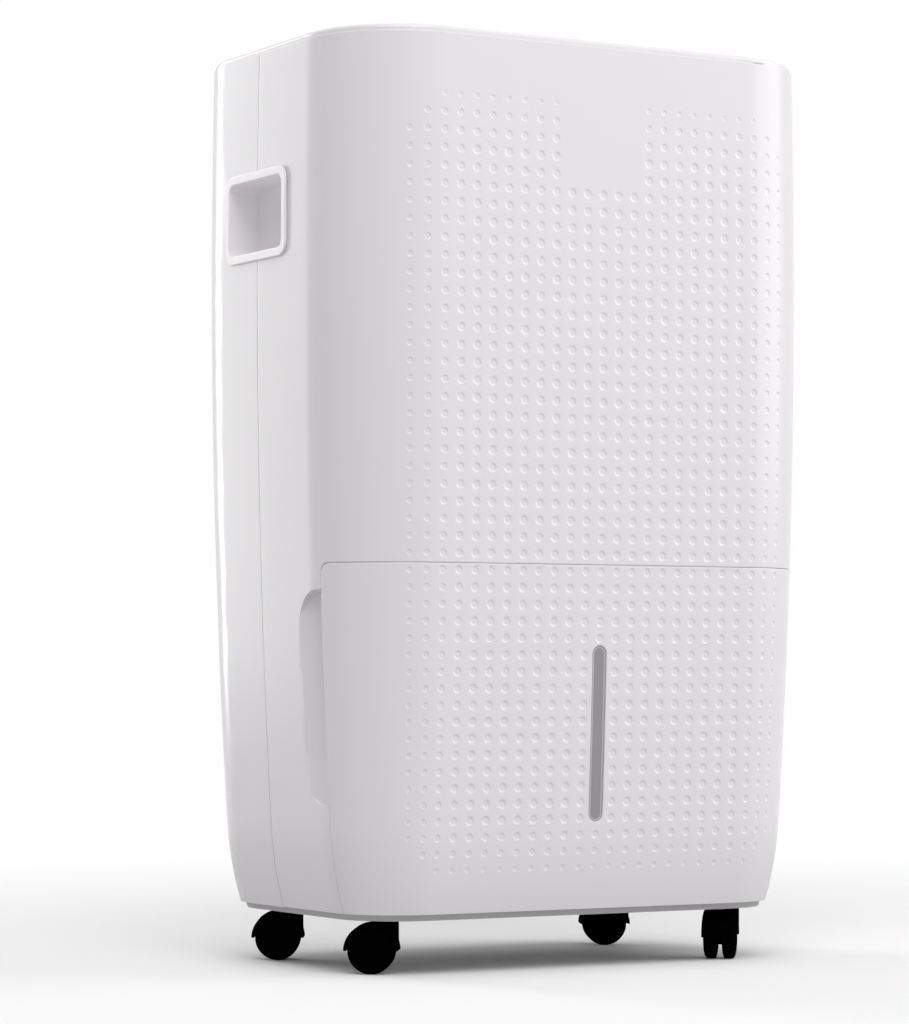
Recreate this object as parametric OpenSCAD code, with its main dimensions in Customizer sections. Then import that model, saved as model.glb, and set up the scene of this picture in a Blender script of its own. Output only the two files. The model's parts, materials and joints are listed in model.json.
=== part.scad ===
// Upright compressor dehumidifier on four twin-wheel casters.
// Millimetres. The origin is on the floor under the middle of the housing,
// +Z is up, the front faces -Y and +X is to the right of someone facing it.

/* [Housing] */
// Width of the housing at its widest
body_w = 374; // [370:1:380]
// Depth of the housing at its widest
body_d = 260; // [258:1:266]
// Height of the top face above the floor
body_h = 616; // [612:1:630]
// Height of the housing's lower edge above the floor
skirt_z = 40; // [39:1:42]
// Height at which the housing is widest
belly_z = 463; // [430:1:480]
// Side-view radius of the long bulge of the walls
bulge_r = 6400; // [5600:100:8000]
// Side-view radius of the tuck above the lower edge
tuck_r = 250; // [220:5:300]
// Height at which the bulge passes into the tuck
tuck_z = 95; // [90:1:100]
// Plan radius of the two front corners
corner_f = 68; // [64:1:72]
// Plan radius of the two rear corners
corner_r = 70; // [66:1:74]
// Thickness of the moulded shells
wall = 2.6; // [2.2:0.1:3]
// Distance of the front and rear shells' parting plane behind the middle
seam_y = 8; // [6:1:10]
// Open width of the parting lines
seam_gap = 0.5; // [0.4:0.1:0.8]

/* [Top cover] */
// Height of the cover's rim
cover_h = 4.5; // [4:0.1:6]
// Distance of the rim inside the housing's outline
cover_inset = 0.9; // [0.6:0.1:1.5]
// Radius of the rim's rounded edge
cover_round = 3; // [2:0.5:3.5]
// Thickness of the cover's plate
cover_t = 2.6; // [2.4:0.1:3]
// Width of the control panel
panel_w = 190; // [180:1:200]
// Depth of the control panel
panel_d = 44; // [40:1:46]
// Distance of the control panel's middle in front of the housing's middle
panel_y = 84; // [82:1:86]
// Thickness of the control panel
panel_t = 2; // [1.8:0.1:2.2]
// Radius of the push buttons
button_r = 7.5; // [6.5:0.5:8]
// Distance between neighbouring push buttons
button_pitch = 24; // [22:1:26]
// Travel of a push button
button_travel = 1; // [0.8:0.1:1.2]
// Width of the display lens
lens_w = 44; // [40:1:48]
// Depth of the display lens
lens_d = 18; // [16:1:20]

/* [Handles] */
// Length of the handle frames, front to back
grip_l = 88; // [84:1:92]
// Height of the handle frames
grip_h = 60; // [56:1:62]
// Distance of the handle frames' middle below the top face
grip_drop = 113; // [108:1:121]
// Width of the frame round the pocket
grip_rim = 6; // [5:0.5:7]
// Thickness of the frame where it stands on the shell
grip_proud = 1.8; // [1.4:0.1:2.4]
// Depth of the hand pocket
grip_depth = 24; // [20:1:26]
// Corner radius of the handle frames
grip_round = 10; // [8:1:12]

/* [Water tank] */
// Height of the tank's upper parting line
tank_top = 269; // [264:1:271]
// Distance of the tank's side edges behind the front face
tank_edge = 56; // [52:1:60]
// Radius of the tank's upper corners
tank_round = 7; // [5:1:9]
// Open width of the parting line round the tank
tank_gap = 0.6; // [0.5:0.1:0.9]
// Thickness of the tank's front panel
tank_wall = 3; // [2.6:0.1:3.2]
// Width of the bucket
bucket_w = 306; // [296:2:308]
// Depth of the bucket's back wall behind the front face
bucket_back = 119; // [112:1:120]
// Height of the bucket's underside
bucket_z = 62; // [61:1:66]
// Height of the bucket's rim
bucket_top = 248; // [240:1:250]
// Thickness of the bucket's walls
bucket_wall = 2.4; // [2:0.1:3]
// Width of the water window
window_w = 11; // [9:0.5:13]
// Height of the water window's lower end
window_lo = 98.6; // [95:0.2:104]
// Height of the water window's upper end
window_hi = 215.5; // [205:0.5:220]
// Length of the finger scoops beside the tank, front to back
scoop_l = 29; // [26:1:31]
// Height of the finger scoops' lower end
scoop_lo = 111; // [108:1:116]
// Height of the finger scoops' upper end
scoop_hi = 252; // [246:1:254]
// Depth of the finger scoops at the tank's edge
scoop_depth = 10; // [8:0.5:11]

/* [Air path] */
// Width of the rear intake opening
intake_w = 224; // [216:2:226]
// Height of the rear intake opening's lower edge
intake_lo = 308; // [306:1:312]
// Distance of the rear intake opening's upper edge below the top face
intake_drop = 50; // [48:1:60]
// Number of louvres across the rear intake
intake_bars = 24; // [18:1:28]
// Width of the coils' finned part
coil_w = 196; // [180:2:200]
// Depth of each coil
coil_d = 22; // [20:1:23]
// Distance between the coils' fins
fin_pitch = 4; // [3.5:0.5:6]
// Radius of the coils' tubes
coil_tube_r = 3.5; // [3:0.5:4]
// Radius of the fan wheel
fan_r = 84; // [80:1:85]
// Width of the fan wheel
fan_w = 62; // [56:1:64]
// Number of fan blades
fan_blades = 38; // [30:1:42]
// Height of the fan's axis
fan_z = 432; // [430:1:436]
// Radius of the fan motor
motor_r = 44; // [40:1:48]
// Radius of the fan shaft
shaft_r = 4; // [3.5:0.5:5]
// Number of slats in the outlet grille
outlet_slats = 7; // [6:1:8]

/* [Refrigeration] */
// Radius of the compressor's can
comp_r = 44; // [40:1:45]
// Height of the compressor's can
comp_h = 172; // [160:1:180]
// Distance of the compressor right of the middle
comp_x = 76; // [72:1:78]
// Radius of the suction accumulator
accu_r = 18; // [16:1:20]
// Height of the suction accumulator
accu_h = 108; // [100:1:120]

/* [Casters] */
// Distance of the caster stems from the middle, left and right
stem_x = 133; // [130:1:136]
// Distance of the front stems in front of the middle
stem_front = 74; // [72:1:76]
// Distance of the rear stems behind the middle
stem_rear = 60; // [57:1:62]
// Radius of the caster wheels
wheel_r = 15.5; // [14.5:0.1:15.6]
// Width of one caster wheel
wheel_w = 8; // [7:0.5:8.5]
// Radius of the hoods over the wheels
hood_r = 18; // [17.4:0.1:18.2]
// Distance of the wheel axle behind the stem's axis
trail = 10; // [9:0.5:11]
// Radius of the caster stems
stem_r = 4; // [3.5:0.5:5]
// Length of the stems inside their sockets
stem_l = 19; // [16:1:20]

/* [Hidden] */

$fn = 96;
// smoothness of the very large side-view circles
big_fn = 1440;
tuck_fn = 360;
eps = 0.01;
half_w = body_w / 2;
half_d = body_d / 2;
// clearance of still pieces, of sliding pieces and of pins in their bores
fit = 0.3;
slide_gap = 0.6;
pin_gap = 0.05;
shell_top = body_h - cover_h;
grip_z = body_h - grip_drop;
intake_hi = body_h - intake_drop;

white = "#f4f4f5";
light = "#e2e3e5";
grey = "#9a9ca0";
dark = "#2b2c2e";
copper = "#b87445";
alloy = "#c3c6c9";

// ---------------------------------------------------------------- housing form

// Side-view region of the housing from the corner's turning axis outwards,
// t inside the outer face, between two heights
module wall_region(t, lo, hi) {
  bend = asin((belly_z - tuck_z) / bulge_r);
  bulge_x = $corner - bulge_r;
  tuck_x = bulge_x + (bulge_r - tuck_r) * cos(bend);
  tuck_c = belly_z - (bulge_r - tuck_r) * sin(bend);
  split = max(lo, min(hi, tuck_z));
  if (hi > split) intersection() {
    translate([bulge_x, belly_z]) circle(r = bulge_r - t, $fn = big_fn);
    translate([0, split]) square([$corner + 1, hi - split]);
  }
  if (split > lo) intersection() {
    translate([tuck_x, tuck_c]) circle(r = tuck_r - t, $fn = tuck_fn);
    translate([0, lo]) square([$corner + 1, split - lo]);
  }
}

// Carries a side-view region round the plan: four quarter turns and four straights
module round_plan() {
  xf = half_w - corner_f;
  xr = half_w - corner_r;
  yf = half_d - corner_f;
  yr = half_d - corner_r;
  for (c = [[-xf, -yf, corner_f, 180], [xf, -yf, corner_f, 270], [xr, yr, corner_r, 0], [-xr, yr, corner_r, 90]])
    translate([c[0], c[1], 0]) rotate([0, 0, c[3]]) rotate_extrude(angle = 90) let ($corner = c[2]) children();
  for (s = [[xf, -yf, corner_f, -90, 2 * xf], [-xr, yr, corner_r, 90, 2 * xr],
            [-xf, -yf, corner_f, 180, yf + yr], [xf, yr, corner_f, 0, yf + yr]])
    translate([s[0], s[1], 0]) rotate([90, 0, s[3]]) linear_extrude(s[4]) let ($corner = s[2]) children();
}

// The housing's form as a solid, t inside its outer face, between two heights
module form(t, lo, hi) {
  round_plan() wall_region(t, lo, hi);
  translate([-half_w + corner_f, -half_d + corner_f, lo])
    cube([body_w - 2 * corner_f, body_d - corner_f - corner_r, hi - lo]);
}

// A shell of the housing's form between two depths below its outer face
module form_shell(t_out, t_in, lo, hi) {
  round_plan() difference() {
    wall_region(t_out, lo, hi);
    wall_region(t_in, lo - 1, hi + 1);
  }
}

// Everything between two depths
module y_slab(y0, y1, z0 = 0, z1 = body_h + 84) {
  translate([-half_w - 20, y0, z0]) cube([body_w + 40, y1 - y0, z1 - z0]);
}

// A rounded rectangle with true arcs, centred
module rounded(w, h, r) {
  square([w - 2 * r, h], center = true);
  square([w, h - 2 * r], center = true);
  for (x = [-1, 1], y = [-1, 1]) translate([x * (w / 2 - r), y * (h / 2 - r)]) circle(r = r);
}

// A box with four rounded upright edges, centred in plan
module rounded_box(w, d, h, r) {
  linear_extrude(h) rounded(w, d, r);
}

// A thick upright slot outline, centred
module slot_2d(w, h) {
  square([w, h - w], center = true);
  for (s = [-1, 1]) translate([0, s * (h - w) / 2]) circle(d = w);
}

// ---------------------------------------------------------------- tank outline

tank_plane = -half_d + tank_edge;

// Side view of the tank's place: everything before its side edges and below its top line
module tank_outline(inset) {
  y1 = tank_plane - inset;
  z1 = tank_top - inset;
  r = tank_round;
  translate([-half_d - 20, -10]) square([y1 - r + half_d + 20, z1 + 10]);
  translate([-half_d - 20, -10]) square([y1 + half_d + 20, z1 - r + 10]);
  translate([y1 - r, z1 - r]) circle(r = r);
}

module tank_place(inset) {
  translate([-half_w - 20, 0, 0]) rotate([90, 0, 90]) linear_extrude(body_w + 40) tank_outline(inset);
}

// ---------------------------------------------------------------- finger scoops

// The hollow of a scoop in the left wall, grown outwards by g for its own wall
module scoop_hollow(g) {
  // the arc runs from nothing at the scoop's rear end to its full depth at the tank's edge
  arc_a = (scoop_l * scoop_l - scoop_depth * scoop_depth) / (2 * scoop_depth);
  arc_r = arc_a + scoop_depth;
  end_r = scoop_l - 5;
  inset_here = 4;
  intersection() {
    translate([-half_w + inset_here - arc_a, tank_plane, scoop_lo - 20 - g])
      cylinder(r = arc_r + g, h = scoop_hi - scoop_lo + 40 + 2 * g, $fn = 180);
    translate([-half_w - 30, tank_plane, 0]) rotate([90, 0, 90]) linear_extrude(60) union() {
      translate([-g, scoop_lo + end_r]) square([scoop_l + 2 * g, scoop_hi - scoop_lo - 2 * end_r]);
      translate([-g, scoop_lo - g]) square([scoop_l - end_r + g, scoop_hi - scoop_lo + 2 * g]);
      for (z = [scoop_lo + end_r, scoop_hi - end_r]) translate([scoop_l - end_r, z]) circle(r = end_r + g);
    }
  }
}

module both_sides() {
  children();
  mirror([1, 0, 0]) children();
}

// ---------------------------------------------------------------- shells

// the screws stand clear of the intake's frame and of the drip tray
screw_x = max(intake_w / 2 + 10, coil_w / 2 + 24);
screw_r = 1.8;
screw_z = [skirt_z + 30, 288, body_h - 24];
seat_y = half_d - 24;

intake_mid = (intake_lo + intake_hi) / 2;
intake_h = intake_hi - intake_lo;
duct_t = 2;
lip_w = 3;
filter_y = half_d - 18;

port_z = 258;
port_x = -122;
port_recess_r = 17;
port_floor = 112;
gland_x = -100;
gland_z = 84;
gland_recess_r = 13;
gland_floor = 108;

module grip_opening(grow) {
  translate([-half_w - 20, seam_y, grip_z]) rotate([90, 0, 90])
    linear_extrude(body_w + 40) rounded(grip_l - 2 * grip_rim + grow, grip_h - 2 * grip_rim + grow, grip_round - 2);
}

module front_shell() {
  color(white) difference() {
    union() {
      intersection() {
        form_shell(0, wall, skirt_z, shell_top);
        y_slab(-half_d - 5, seam_y - seam_gap / 2);
      }
      intersection() {
        form(wall - eps, skirt_z, shell_top);
        union() {
          // walls of the finger scoops
          both_sides() difference() {
            scoop_hollow(wall);
            translate([-half_w - 40, tank_plane - 20, 0]) cube([60, 20, shell_top]);
          }
          // return flange above the tank
          y_slab(-half_d, -half_d + 22, tank_top + wall, tank_top + 2 * wall);
          // stiffening ribs up the inside of the front
          for (x = [-120, -60, 0, 60, 120])
            translate([x - 1, -half_d, tank_top + wall]) cube([2, 7, shell_top - 8 - tank_top - wall]);
        }
      }
    }
    tank_place(0);
    both_sides() scoop_hollow(0);
    grip_opening(2 * duct_t + 2 * fit);
  }
}

module rear_shell() {
  tongue_t = 1.1;
  tongue_l = 5;
  color(white) difference() {
    union() {
      intersection() {
        form_shell(0, wall, skirt_z, shell_top);
        y_slab(seam_y + seam_gap / 2, half_d + 5);
      }
      // tongue that closes the parting line from inside
      intersection() {
        form_shell(wall + 0.2, wall + 0.2 + tongue_t, pan_rim + 1, shell_top - 1);
        y_slab(seam_y - tongue_l, seam_y + tongue_l);
      }
      intersection() {
        form_shell(wall - eps, wall + 0.2 + tongue_t, pan_rim + 1, shell_top - 1);
        y_slab(seam_y + seam_gap / 2 + 0.5, seam_y + tongue_l);
      }
      intersection() {
        form(wall - eps, skirt_z, shell_top);
        union() {
          // frame that the filter cassette slides into
          translate([0, filter_y - duct_t, intake_mid]) rotate([-90, 0, 0])
            rounded_box(intake_w + 2 * duct_t, intake_h + 2 * duct_t, 30, 8);
          // cups round the drain port and the cord gland
          translate([port_x, port_floor - duct_t, port_z]) rotate([-90, 0, 0]) cylinder(r = port_recess_r + duct_t, h = 40);
          translate([gland_x, gland_floor - duct_t, gland_z]) rotate([-90, 0, 0]) cylinder(r = gland_recess_r + duct_t, h = 40);
          // screw pillars
          for (x = [-screw_x, screw_x], z = screw_z)
            translate([x, seat_y, z]) rotate([-90, 0, 0]) cylinder(r = 5, h = 40);
        }
      }
    }
    translate([0, filter_y - duct_t - 1, intake_mid]) rotate([-90, 0, 0])
      rounded_box(intake_w - 2 * lip_w, intake_h - 2 * lip_w, 30, 4);
    translate([0, filter_y, intake_mid]) rotate([-90, 0, 0]) rounded_box(intake_w, intake_h, 30, 6);
    translate([port_x, port_floor, port_z]) rotate([-90, 0, 0]) cylinder(r = port_recess_r, h = 40);
    translate([port_x, port_floor - 10, port_z]) rotate([-90, 0, 0]) cylinder(r = port_tube_r + pin_gap, h = 40);
    translate([gland_x, gland_floor, gland_z]) rotate([-90, 0, 0]) cylinder(r = gland_recess_r, h = 40);
    translate([gland_x, gland_floor - 10, gland_z]) rotate([-90, 0, 0]) cylinder(r = gland_r + pin_gap, h = 40);
    for (x = [-screw_x, screw_x], z = screw_z) translate([x, seat_y, z]) rotate([-90, 0, 0]) {
      translate([0, 0, -1]) cylinder(r = screw_r + 0.2, h = 40);
      translate([0, 0, screw_seat]) cylinder(r = 4.2, h = 40);
    }
    grip_opening(2 * duct_t + 2 * fit);
  }
}

screw_seat = 3;

module rear_screws() {
  color(alloy) for (x = [-screw_x, screw_x], z = screw_z) translate([x, seat_y, z]) rotate([-90, 0, 0]) {
    difference() {
      union() {
        translate([0, 0, 0.5 - post_d]) cylinder(r = screw_r, h = post_d - 0.5 + screw_seat);
        translate([0, 0, screw_seat]) cylinder(r = 3.6, h = 1.2);
        translate([0, 0, screw_seat + 1.2]) cylinder(r1 = 3.6, r2 = 2.4, h = 0.9);
      }
      for (a = [0, 90]) rotate([0, 0, a]) translate([-2, -0.4, screw_seat + 1.1]) cube([4, 0.8, 2]);
    }
  }
}

// ---------------------------------------------------------------- base

pan_inset = wall + fit;
pan_lo = skirt_z - 4;
pan_t = 3;
pan_floor = pan_lo + pan_t + 6;
pan_rim = 58;
post_w = 12;
post_d = 8;

module caster_places() {
  for (p = [[-stem_x, -stem_front], [stem_x, -stem_front], [-stem_x, stem_rear], [stem_x, stem_rear]])
    translate([p[0], p[1], 0]) children();
}

module base_pan() {
  tank_inset = tank_wall + fit;
  color(light) difference() {
    union() {
      // floor
      form(tank_inset, pan_floor - pan_t, pan_floor);
      // skirt that shows as a strip below the housing
      form_shell(tank_inset, tank_inset + 2.4, pan_lo, pan_floor);
      // upstand behind the tank
      intersection() {
        form_shell(tank_inset, tank_inset + 2.4, pan_floor - eps, pan_rim);
        y_slab(tank_plane + 6, half_d);
      }
      // rails that the tank slides on
      for (x = [-96, 96]) translate([x - 3, -half_d + 30, pan_floor - eps])
        cube([6, bucket_back - 34, bucket_z - pan_floor - fit]);
      caster_places() translate([0, 0, pan_lo]) cylinder(r = stem_r + 5, h = stem_l + 3);
      // ribs under the floor
      intersection() {
        form(tank_inset + 1, pan_lo + 1, pan_floor - pan_t + eps);
        union() {
          for (x = [-110, -55, 0, 55, 110]) translate([x - 1, -half_d, pan_lo]) cube([2, body_d, pan_floor]);
          for (y = [-40, 10, 95]) y_slab(y - 1, y + 1, pan_lo, pan_floor);
        }
      }
      // posts for the rear shell's lower screws
      for (x = [-screw_x, screw_x]) translate([x - post_w / 2, seat_y - post_d, pan_floor - eps])
        cube([post_w, post_d - eps, screw_z[0] + 8 - pan_floor]);
      // seats of the compressor's feet
      for (a = foot_angles) translate([comp_x, comp_y, 0]) rotate([0, 0, a]) translate([comp_foot_r, 0, pan_floor - eps])
        cylinder(r = foot_pad_r + 1, h = 2);
    }
    caster_places() translate([0, 0, pan_lo - 1]) cylinder(r = stem_r + pin_gap, h = stem_l + 1.5);
    for (x = [-screw_x, screw_x]) translate([x, seat_y - 10, screw_z[0]]) rotate([-90, 0, 0])
      cylinder(r = screw_r + 0.02, h = 20);
    for (a = foot_angles) translate([comp_x, comp_y, 0]) rotate([0, 0, a]) translate([comp_foot_r, 0, pan_lo])
      cylinder(r = 3.05, h = 30);
  }
}

// ---------------------------------------------------------------- chassis

deck_z = 280;
deck_t = 3;
deck_inset = wall + 2;
bulkhead_y = 3;
drip_x = -40;
drip_y = -30;
drip_r = 11;

module chassis() {
  color(light) difference() {
    union() {
      form(deck_inset, deck_z - deck_t, deck_z);
      intersection() {
        form(deck_inset + 3, pan_floor, deck_z - deck_t + eps);
        union() {
          y_slab(bulkhead_y, bulkhead_y + 2.4, pan_floor, deck_z);
          // ribs behind the bulkhead
          for (x = [-150, -75, 0]) translate([x - 1, bulkhead_y, pan_floor]) cube([2, 10.4, deck_z - pan_floor]);
        }
      }
      // posts for the rear shell's middle screws
      for (x = [-screw_x, screw_x]) translate([x - post_w / 2, seat_y - post_d, deck_z - eps])
        cube([post_w, post_d - eps, screw_z[1] + 7 - deck_z]);
      // uprights that carry the fan scroll's feet
      for (x = scroll_feet) translate([x - 8, scroll_y0 + 10, deck_z - eps]) cube([16, 40, 8]);
    }
    // drip hole over the tank and the way through for the pipes
    translate([drip_x, drip_y, deck_z - 20]) cylinder(r = drip_r + 1, h = 40);
    translate([accu_x - 8, rise_y - 8, deck_z - 20]) cube([rise_x - accu_x + 16, 16, 40]);
    for (x = [-screw_x, screw_x]) translate([x, seat_y - 10, screw_z[1]]) rotate([-90, 0, 0])
      cylinder(r = screw_r + 0.02, h = 20);
  }
}

// ---------------------------------------------------------------- top

// Rim with a rounded upper edge, seen from the side
module cover_region() {
  lift = body_h - belly_z;
  out = $corner - lift * lift / (2 * bulge_r) - cover_inset;
  translate([0, shell_top]) square([out - cover_round, cover_h]);
  translate([0, shell_top]) square([out, cover_h - cover_round]);
  intersection() {
    translate([out - cover_round, body_h - cover_round]) circle(r = cover_round);
    translate([0, shell_top]) square([out, cover_h]);
  }
}

outlet_w = 214;
outlet_d = 74;
outlet_y = 10;
grille_rim = 5;
grille_t = 3;
// the last button's place is tied to the panel's right end, and the lens to the first button
button_x0 = panel_w / 2 - 15 - 4 * button_pitch;
lens_x = button_x0 - button_r - lens_w / 2 - 10.5;
ledge = 3;

module cover_form() {
  round_plan() cover_region();
  translate([-half_w + corner_f, -half_d + corner_f, shell_top])
    cube([body_w - 2 * corner_f, body_d - corner_f - corner_r, cover_h]);
}

module top_cover() {
  color(white) difference() {
    union() {
      difference() {
        cover_form();
        form(wall + 3, shell_top - 1, body_h - cover_t);
      }
      // lip inside the shells
      form_shell(wall + fit + 1.6, wall + fit + 3.2, shell_top - 6, body_h - cover_t + eps);
      // pillars for the rear shell's upper screws
      for (x = [-screw_x, screw_x]) translate([x - post_w / 2, seat_y - post_d, screw_z[2] - 8])
        cube([post_w, post_d - eps, body_h - cover_t - screw_z[2] + 8 + eps]);
    }
    translate([0, outlet_y, shell_top - 20]) rounded_box(outlet_w, outlet_d, 40, 8);
    translate([0, -panel_y, body_h - panel_t]) rounded_box(panel_w + 2 * fit, panel_d + 2 * fit, 10, 6 + fit);
    translate([0, -panel_y, shell_top - 20]) rounded_box(panel_w - 2 * ledge, panel_d - 2 * ledge, 40, 4);
    for (x = [-screw_x, screw_x]) translate([x, seat_y - 10, screw_z[2]]) rotate([-90, 0, 0])
      cylinder(r = screw_r + 0.02, h = 20);
  }
}

module outlet_grille() {
  slat_pitch = (outlet_d - 2 * grille_rim) / outlet_slats;
  color(white) translate([0, outlet_y, 0]) {
    translate([0, 0, body_h - cover_t - 1]) difference() {
      rounded_box(outlet_w - 2 * fit, outlet_d - 2 * fit, grille_t + 0.6, 8 - fit);
      translate([0, 0, -1]) rounded_box(outlet_w - 2 * grille_rim, outlet_d - 2 * grille_rim, 10, 4);
    }
    for (i = [0 : outlet_slats - 1])
      translate([0, -outlet_d / 2 + grille_rim + (i + 0.5) * slat_pitch, body_h - cover_t - 8]) rotate([24, 0, 0])
        translate([-outlet_w / 2 + grille_rim - 1, -0.8, 0]) cube([outlet_w - 2 * grille_rim + 2, 1.6, 10]);
    for (x = [-35, 35]) translate([x - 1, -outlet_d / 2 + grille_rim - 1, body_h - cover_t - 7])
      cube([2, outlet_d - 2 * grille_rim + 2, 6]);
    for (s = [-1, 1]) translate([s * (outlet_w / 2 - grille_rim) - 1.5, -outlet_d / 2 + grille_rim - 1, body_h - cover_t - 8])
      cube([3, outlet_d - 2 * grille_rim + 2, 8]);
  }
}

module button_place(i) {
  translate([button_x0 + i * button_pitch, -panel_y, 0]) children();
}

module control_panel() {
  color(dark) difference() {
    translate([0, -panel_y, body_h - panel_t]) rounded_box(panel_w, panel_d, panel_t, 6);
    translate([lens_x, -panel_y, body_h - panel_t - 1]) rounded_box(lens_w + 0.2, lens_d + 0.2, 10, 2.1);
    for (i = [0 : 4]) button_place(i) translate([0, 0, body_h - 10]) cylinder(r = button_r + fit, h = 20);
  }
}

module display_lens() {
  color("#101214") translate([lens_x, -panel_y, body_h - panel_t - 1.2])
    rounded_box(lens_w, lens_d, panel_t + 1.4, 2);
}

board_z = body_h - 12;

module push_button(i) {
  stem_top = body_h - panel_t - 2.2;
  color(white) button_place(i) {
    translate([0, 0, stem_top]) cylinder(r = button_r, h = body_h + 0.8 - stem_top);
    translate([0, 0, board_z + 1.6 + 1.6 + button_travel + 0.2]) cylinder(r = 2, h = stem_top - board_z - 3.4 - button_travel + eps);
  }
}

module control_board() {
  color("#2f6b4a") translate([0, -panel_y, board_z]) {
    difference() {
      translate([-panel_w / 2 + 8, -panel_d / 2 + 5, 0]) cube([panel_w - 16, panel_d - 10, 1.6]);
      for (x = [-panel_w / 2 + 13, panel_w / 2 - 13]) translate([x, 0, -1]) cylinder(r = 1.6, h = 4);
    }
    for (i = [0 : 4]) translate([button_x0 + i * button_pitch - 3, -3, 1.6 - eps]) cube([6, 6, 1.6]);
    translate([lens_x - lens_w / 2 + 4, -lens_d / 2 + 2, 1.6 - eps]) cube([lens_w - 8, lens_d - 4, body_h - panel_t - 1.2 - board_z - 1.6]);
  }
}

module control_box() {
  box_h = 30;
  color(grey) translate([0, -panel_y, board_z - box_h]) {
    difference() {
      translate([-panel_w / 2 + 5, -panel_d / 2 + 3.5, 0]) cube([panel_w - 10, panel_d - 7, box_h + 1.6]);
      translate([-panel_w / 2 + 7, -panel_d / 2 + 5 - 0.2, 2]) cube([panel_w - 14, panel_d - 10 + 0.4, box_h]);
    }
    for (x = [-panel_w / 2 + 13, panel_w / 2 - 13]) translate([x, 0, 2 - eps]) cylinder(r = 4, h = box_h - 2 + eps);
    // ears that hang the box from the cover
    for (s = [-1, 1]) translate([s * (panel_w / 2 - 5.5) - 1.5, -panel_d / 2 + 3.5, box_h])
      cube([3, panel_d - 7, body_h - cover_t - board_z - eps]);
  }
}

// ---------------------------------------------------------------- handles

module handle(side) {
  pocket_l = grip_l - 2 * grip_rim;
  pocket_h = grip_h - 2 * grip_rim;
  face = half_w + 0.05;
  color(white) mirror([side > 0 ? 1 : 0, 0, 0]) translate([0, seam_y, grip_z]) difference() {
    union() {
      translate([-face - grip_proud, 0, 0]) rotate([90, 0, 90]) linear_extrude(grip_proud) rounded(grip_l, grip_h, grip_round);
      translate([-face, 0, 0]) rotate([90, 0, 90]) linear_extrude(grip_depth) rounded(pocket_l + 2 * duct_t, pocket_h + 2 * duct_t, grip_round - 2);
    }
    // pocket: straight for its first half, then cut up behind the upper edge
    translate([-face - grip_proud - 1, 0, 0]) rotate([90, 0, 90])
      linear_extrude(grip_proud + 1 + grip_depth - duct_t) rounded(pocket_l, pocket_h, grip_round - 4);
  }
}

// ---------------------------------------------------------------- coils

evap_y = 84;
cond_y = evap_y - coil_d - 6;
coil_lo = 300;
coil_hi = intake_hi - 6;
coil_rows = 10;
coil_row = (coil_hi - coil_lo) / coil_rows;
tray_z = deck_z;
tray_t = 2;
tray_h = 16;

// A finned coil: comb of fins on a core, end plates and return bends
module coil(y0, finish) {
  fins = round(coil_w / fin_pitch);
  pitch = coil_w / fins;
  color(finish) translate([0, y0, 0]) {
    translate([0, 0, coil_lo]) linear_extrude(coil_hi - coil_lo) {
      translate([-coil_w / 2 - 1, coil_d / 2 - 3]) square([coil_w + 2, 6]);
      for (i = [0 : fins]) translate([-coil_w / 2 + i * pitch - 0.4, 0]) square([0.8, coil_d]);
    }
    for (s = [-1, 1]) translate([s * (coil_w / 2 + 1) - 1, 0, tray_z + tray_t])
      cube([2, coil_d, coil_hi - tray_z - tray_t]);
  }
  for (s = [-1, 1], i = [0 : coil_rows / 2 - 1])
    color(copper) translate([s * (coil_w / 2 + 2 - eps), y0 + coil_d / 2, coil_lo + (2 * i + 1) * coil_row]) rotate([90, 0, s > 0 ? -90 : 90])
      rotate([0, 90, 0]) rotate_extrude(angle = 180) translate([coil_row / 2, 0]) circle(r = coil_tube_r, $fn = 32);
}

module evaporator() {
  coil(evap_y, alloy);
}

module condenser() {
  coil(cond_y, alloy);
}

module drip_tray() {
  len = evap_y + coil_d - cond_y + 8;
  y0 = cond_y - 4;
  color(grey) difference() {
    union() {
      translate([-coil_w / 2 - 12, y0, tray_z]) cube([coil_w + 24, len, tray_h]);
      // trough to the drip hole
      translate([drip_x - 14, drip_y - 14, tray_z]) cube([28, y0 - drip_y + 14 + eps, tray_h - 5]);
      translate([drip_x, drip_y, tray_z - 8]) cylinder(r = drip_r, h = 10);
    }
    translate([-coil_w / 2 - 10, y0 + 2, tray_z + tray_t]) cube([coil_w + 20, len - 4, tray_h]);
    translate([drip_x - 12, drip_y - 12, tray_z + tray_t]) cube([24, y0 - drip_y + 16, tray_h]);
    translate([drip_x, drip_y, tray_z - 9]) cylinder(r = drip_r - 2, h = 20);
  }
}

// ---------------------------------------------------------------- fan

scroll_y0 = -40;
scroll_d = 76;
scroll_t = 2;
scroll_gap = 8;
scroll_step = 9;
scroll_feet = [-75, 40];
fan_x = -14;
inlet_r = fan_r - 12;
duct_top = body_h - 16;

// Spiral casing outline: four quarter arcs whose radius steps up, then the outlet duct
module scroll_outline(t) {
  s = scroll_step;
  r0 = fan_r + scroll_gap;
  // centres of the quarter arcs step round a small square
  quarter = [[-s / 2, -s / 2, 90, r0], [s / 2, -s / 2, 180, r0 + s], [s / 2, s / 2, 270, r0 + 2 * s]];
  for (q = quarter) translate([q[0], q[1]]) intersection() {
    circle(r = q[3] - t, $fn = 180);
    rotate([0, 0, q[2]]) square(q[3]);
  }
  square(s + 2, center = true);
  // outlet duct, flared to the left
  polygon([
    [r0 + 2.5 * s - t, s / 2], [outlet_w / 2 - fan_x - 6 - t, duct_top - fan_z - 48], [outlet_w / 2 - fan_x - 6 - t, duct_top - fan_z],
    [-outlet_w / 2 - fan_x + 6 + t, duct_top - fan_z], [-outlet_w / 2 - fan_x + 6 + t, duct_top - fan_z - 20],
    [-s / 2, r0 - s / 2 - t], [-s / 2, 0], [s / 2, -s / 2]
  ]);
}

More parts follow.
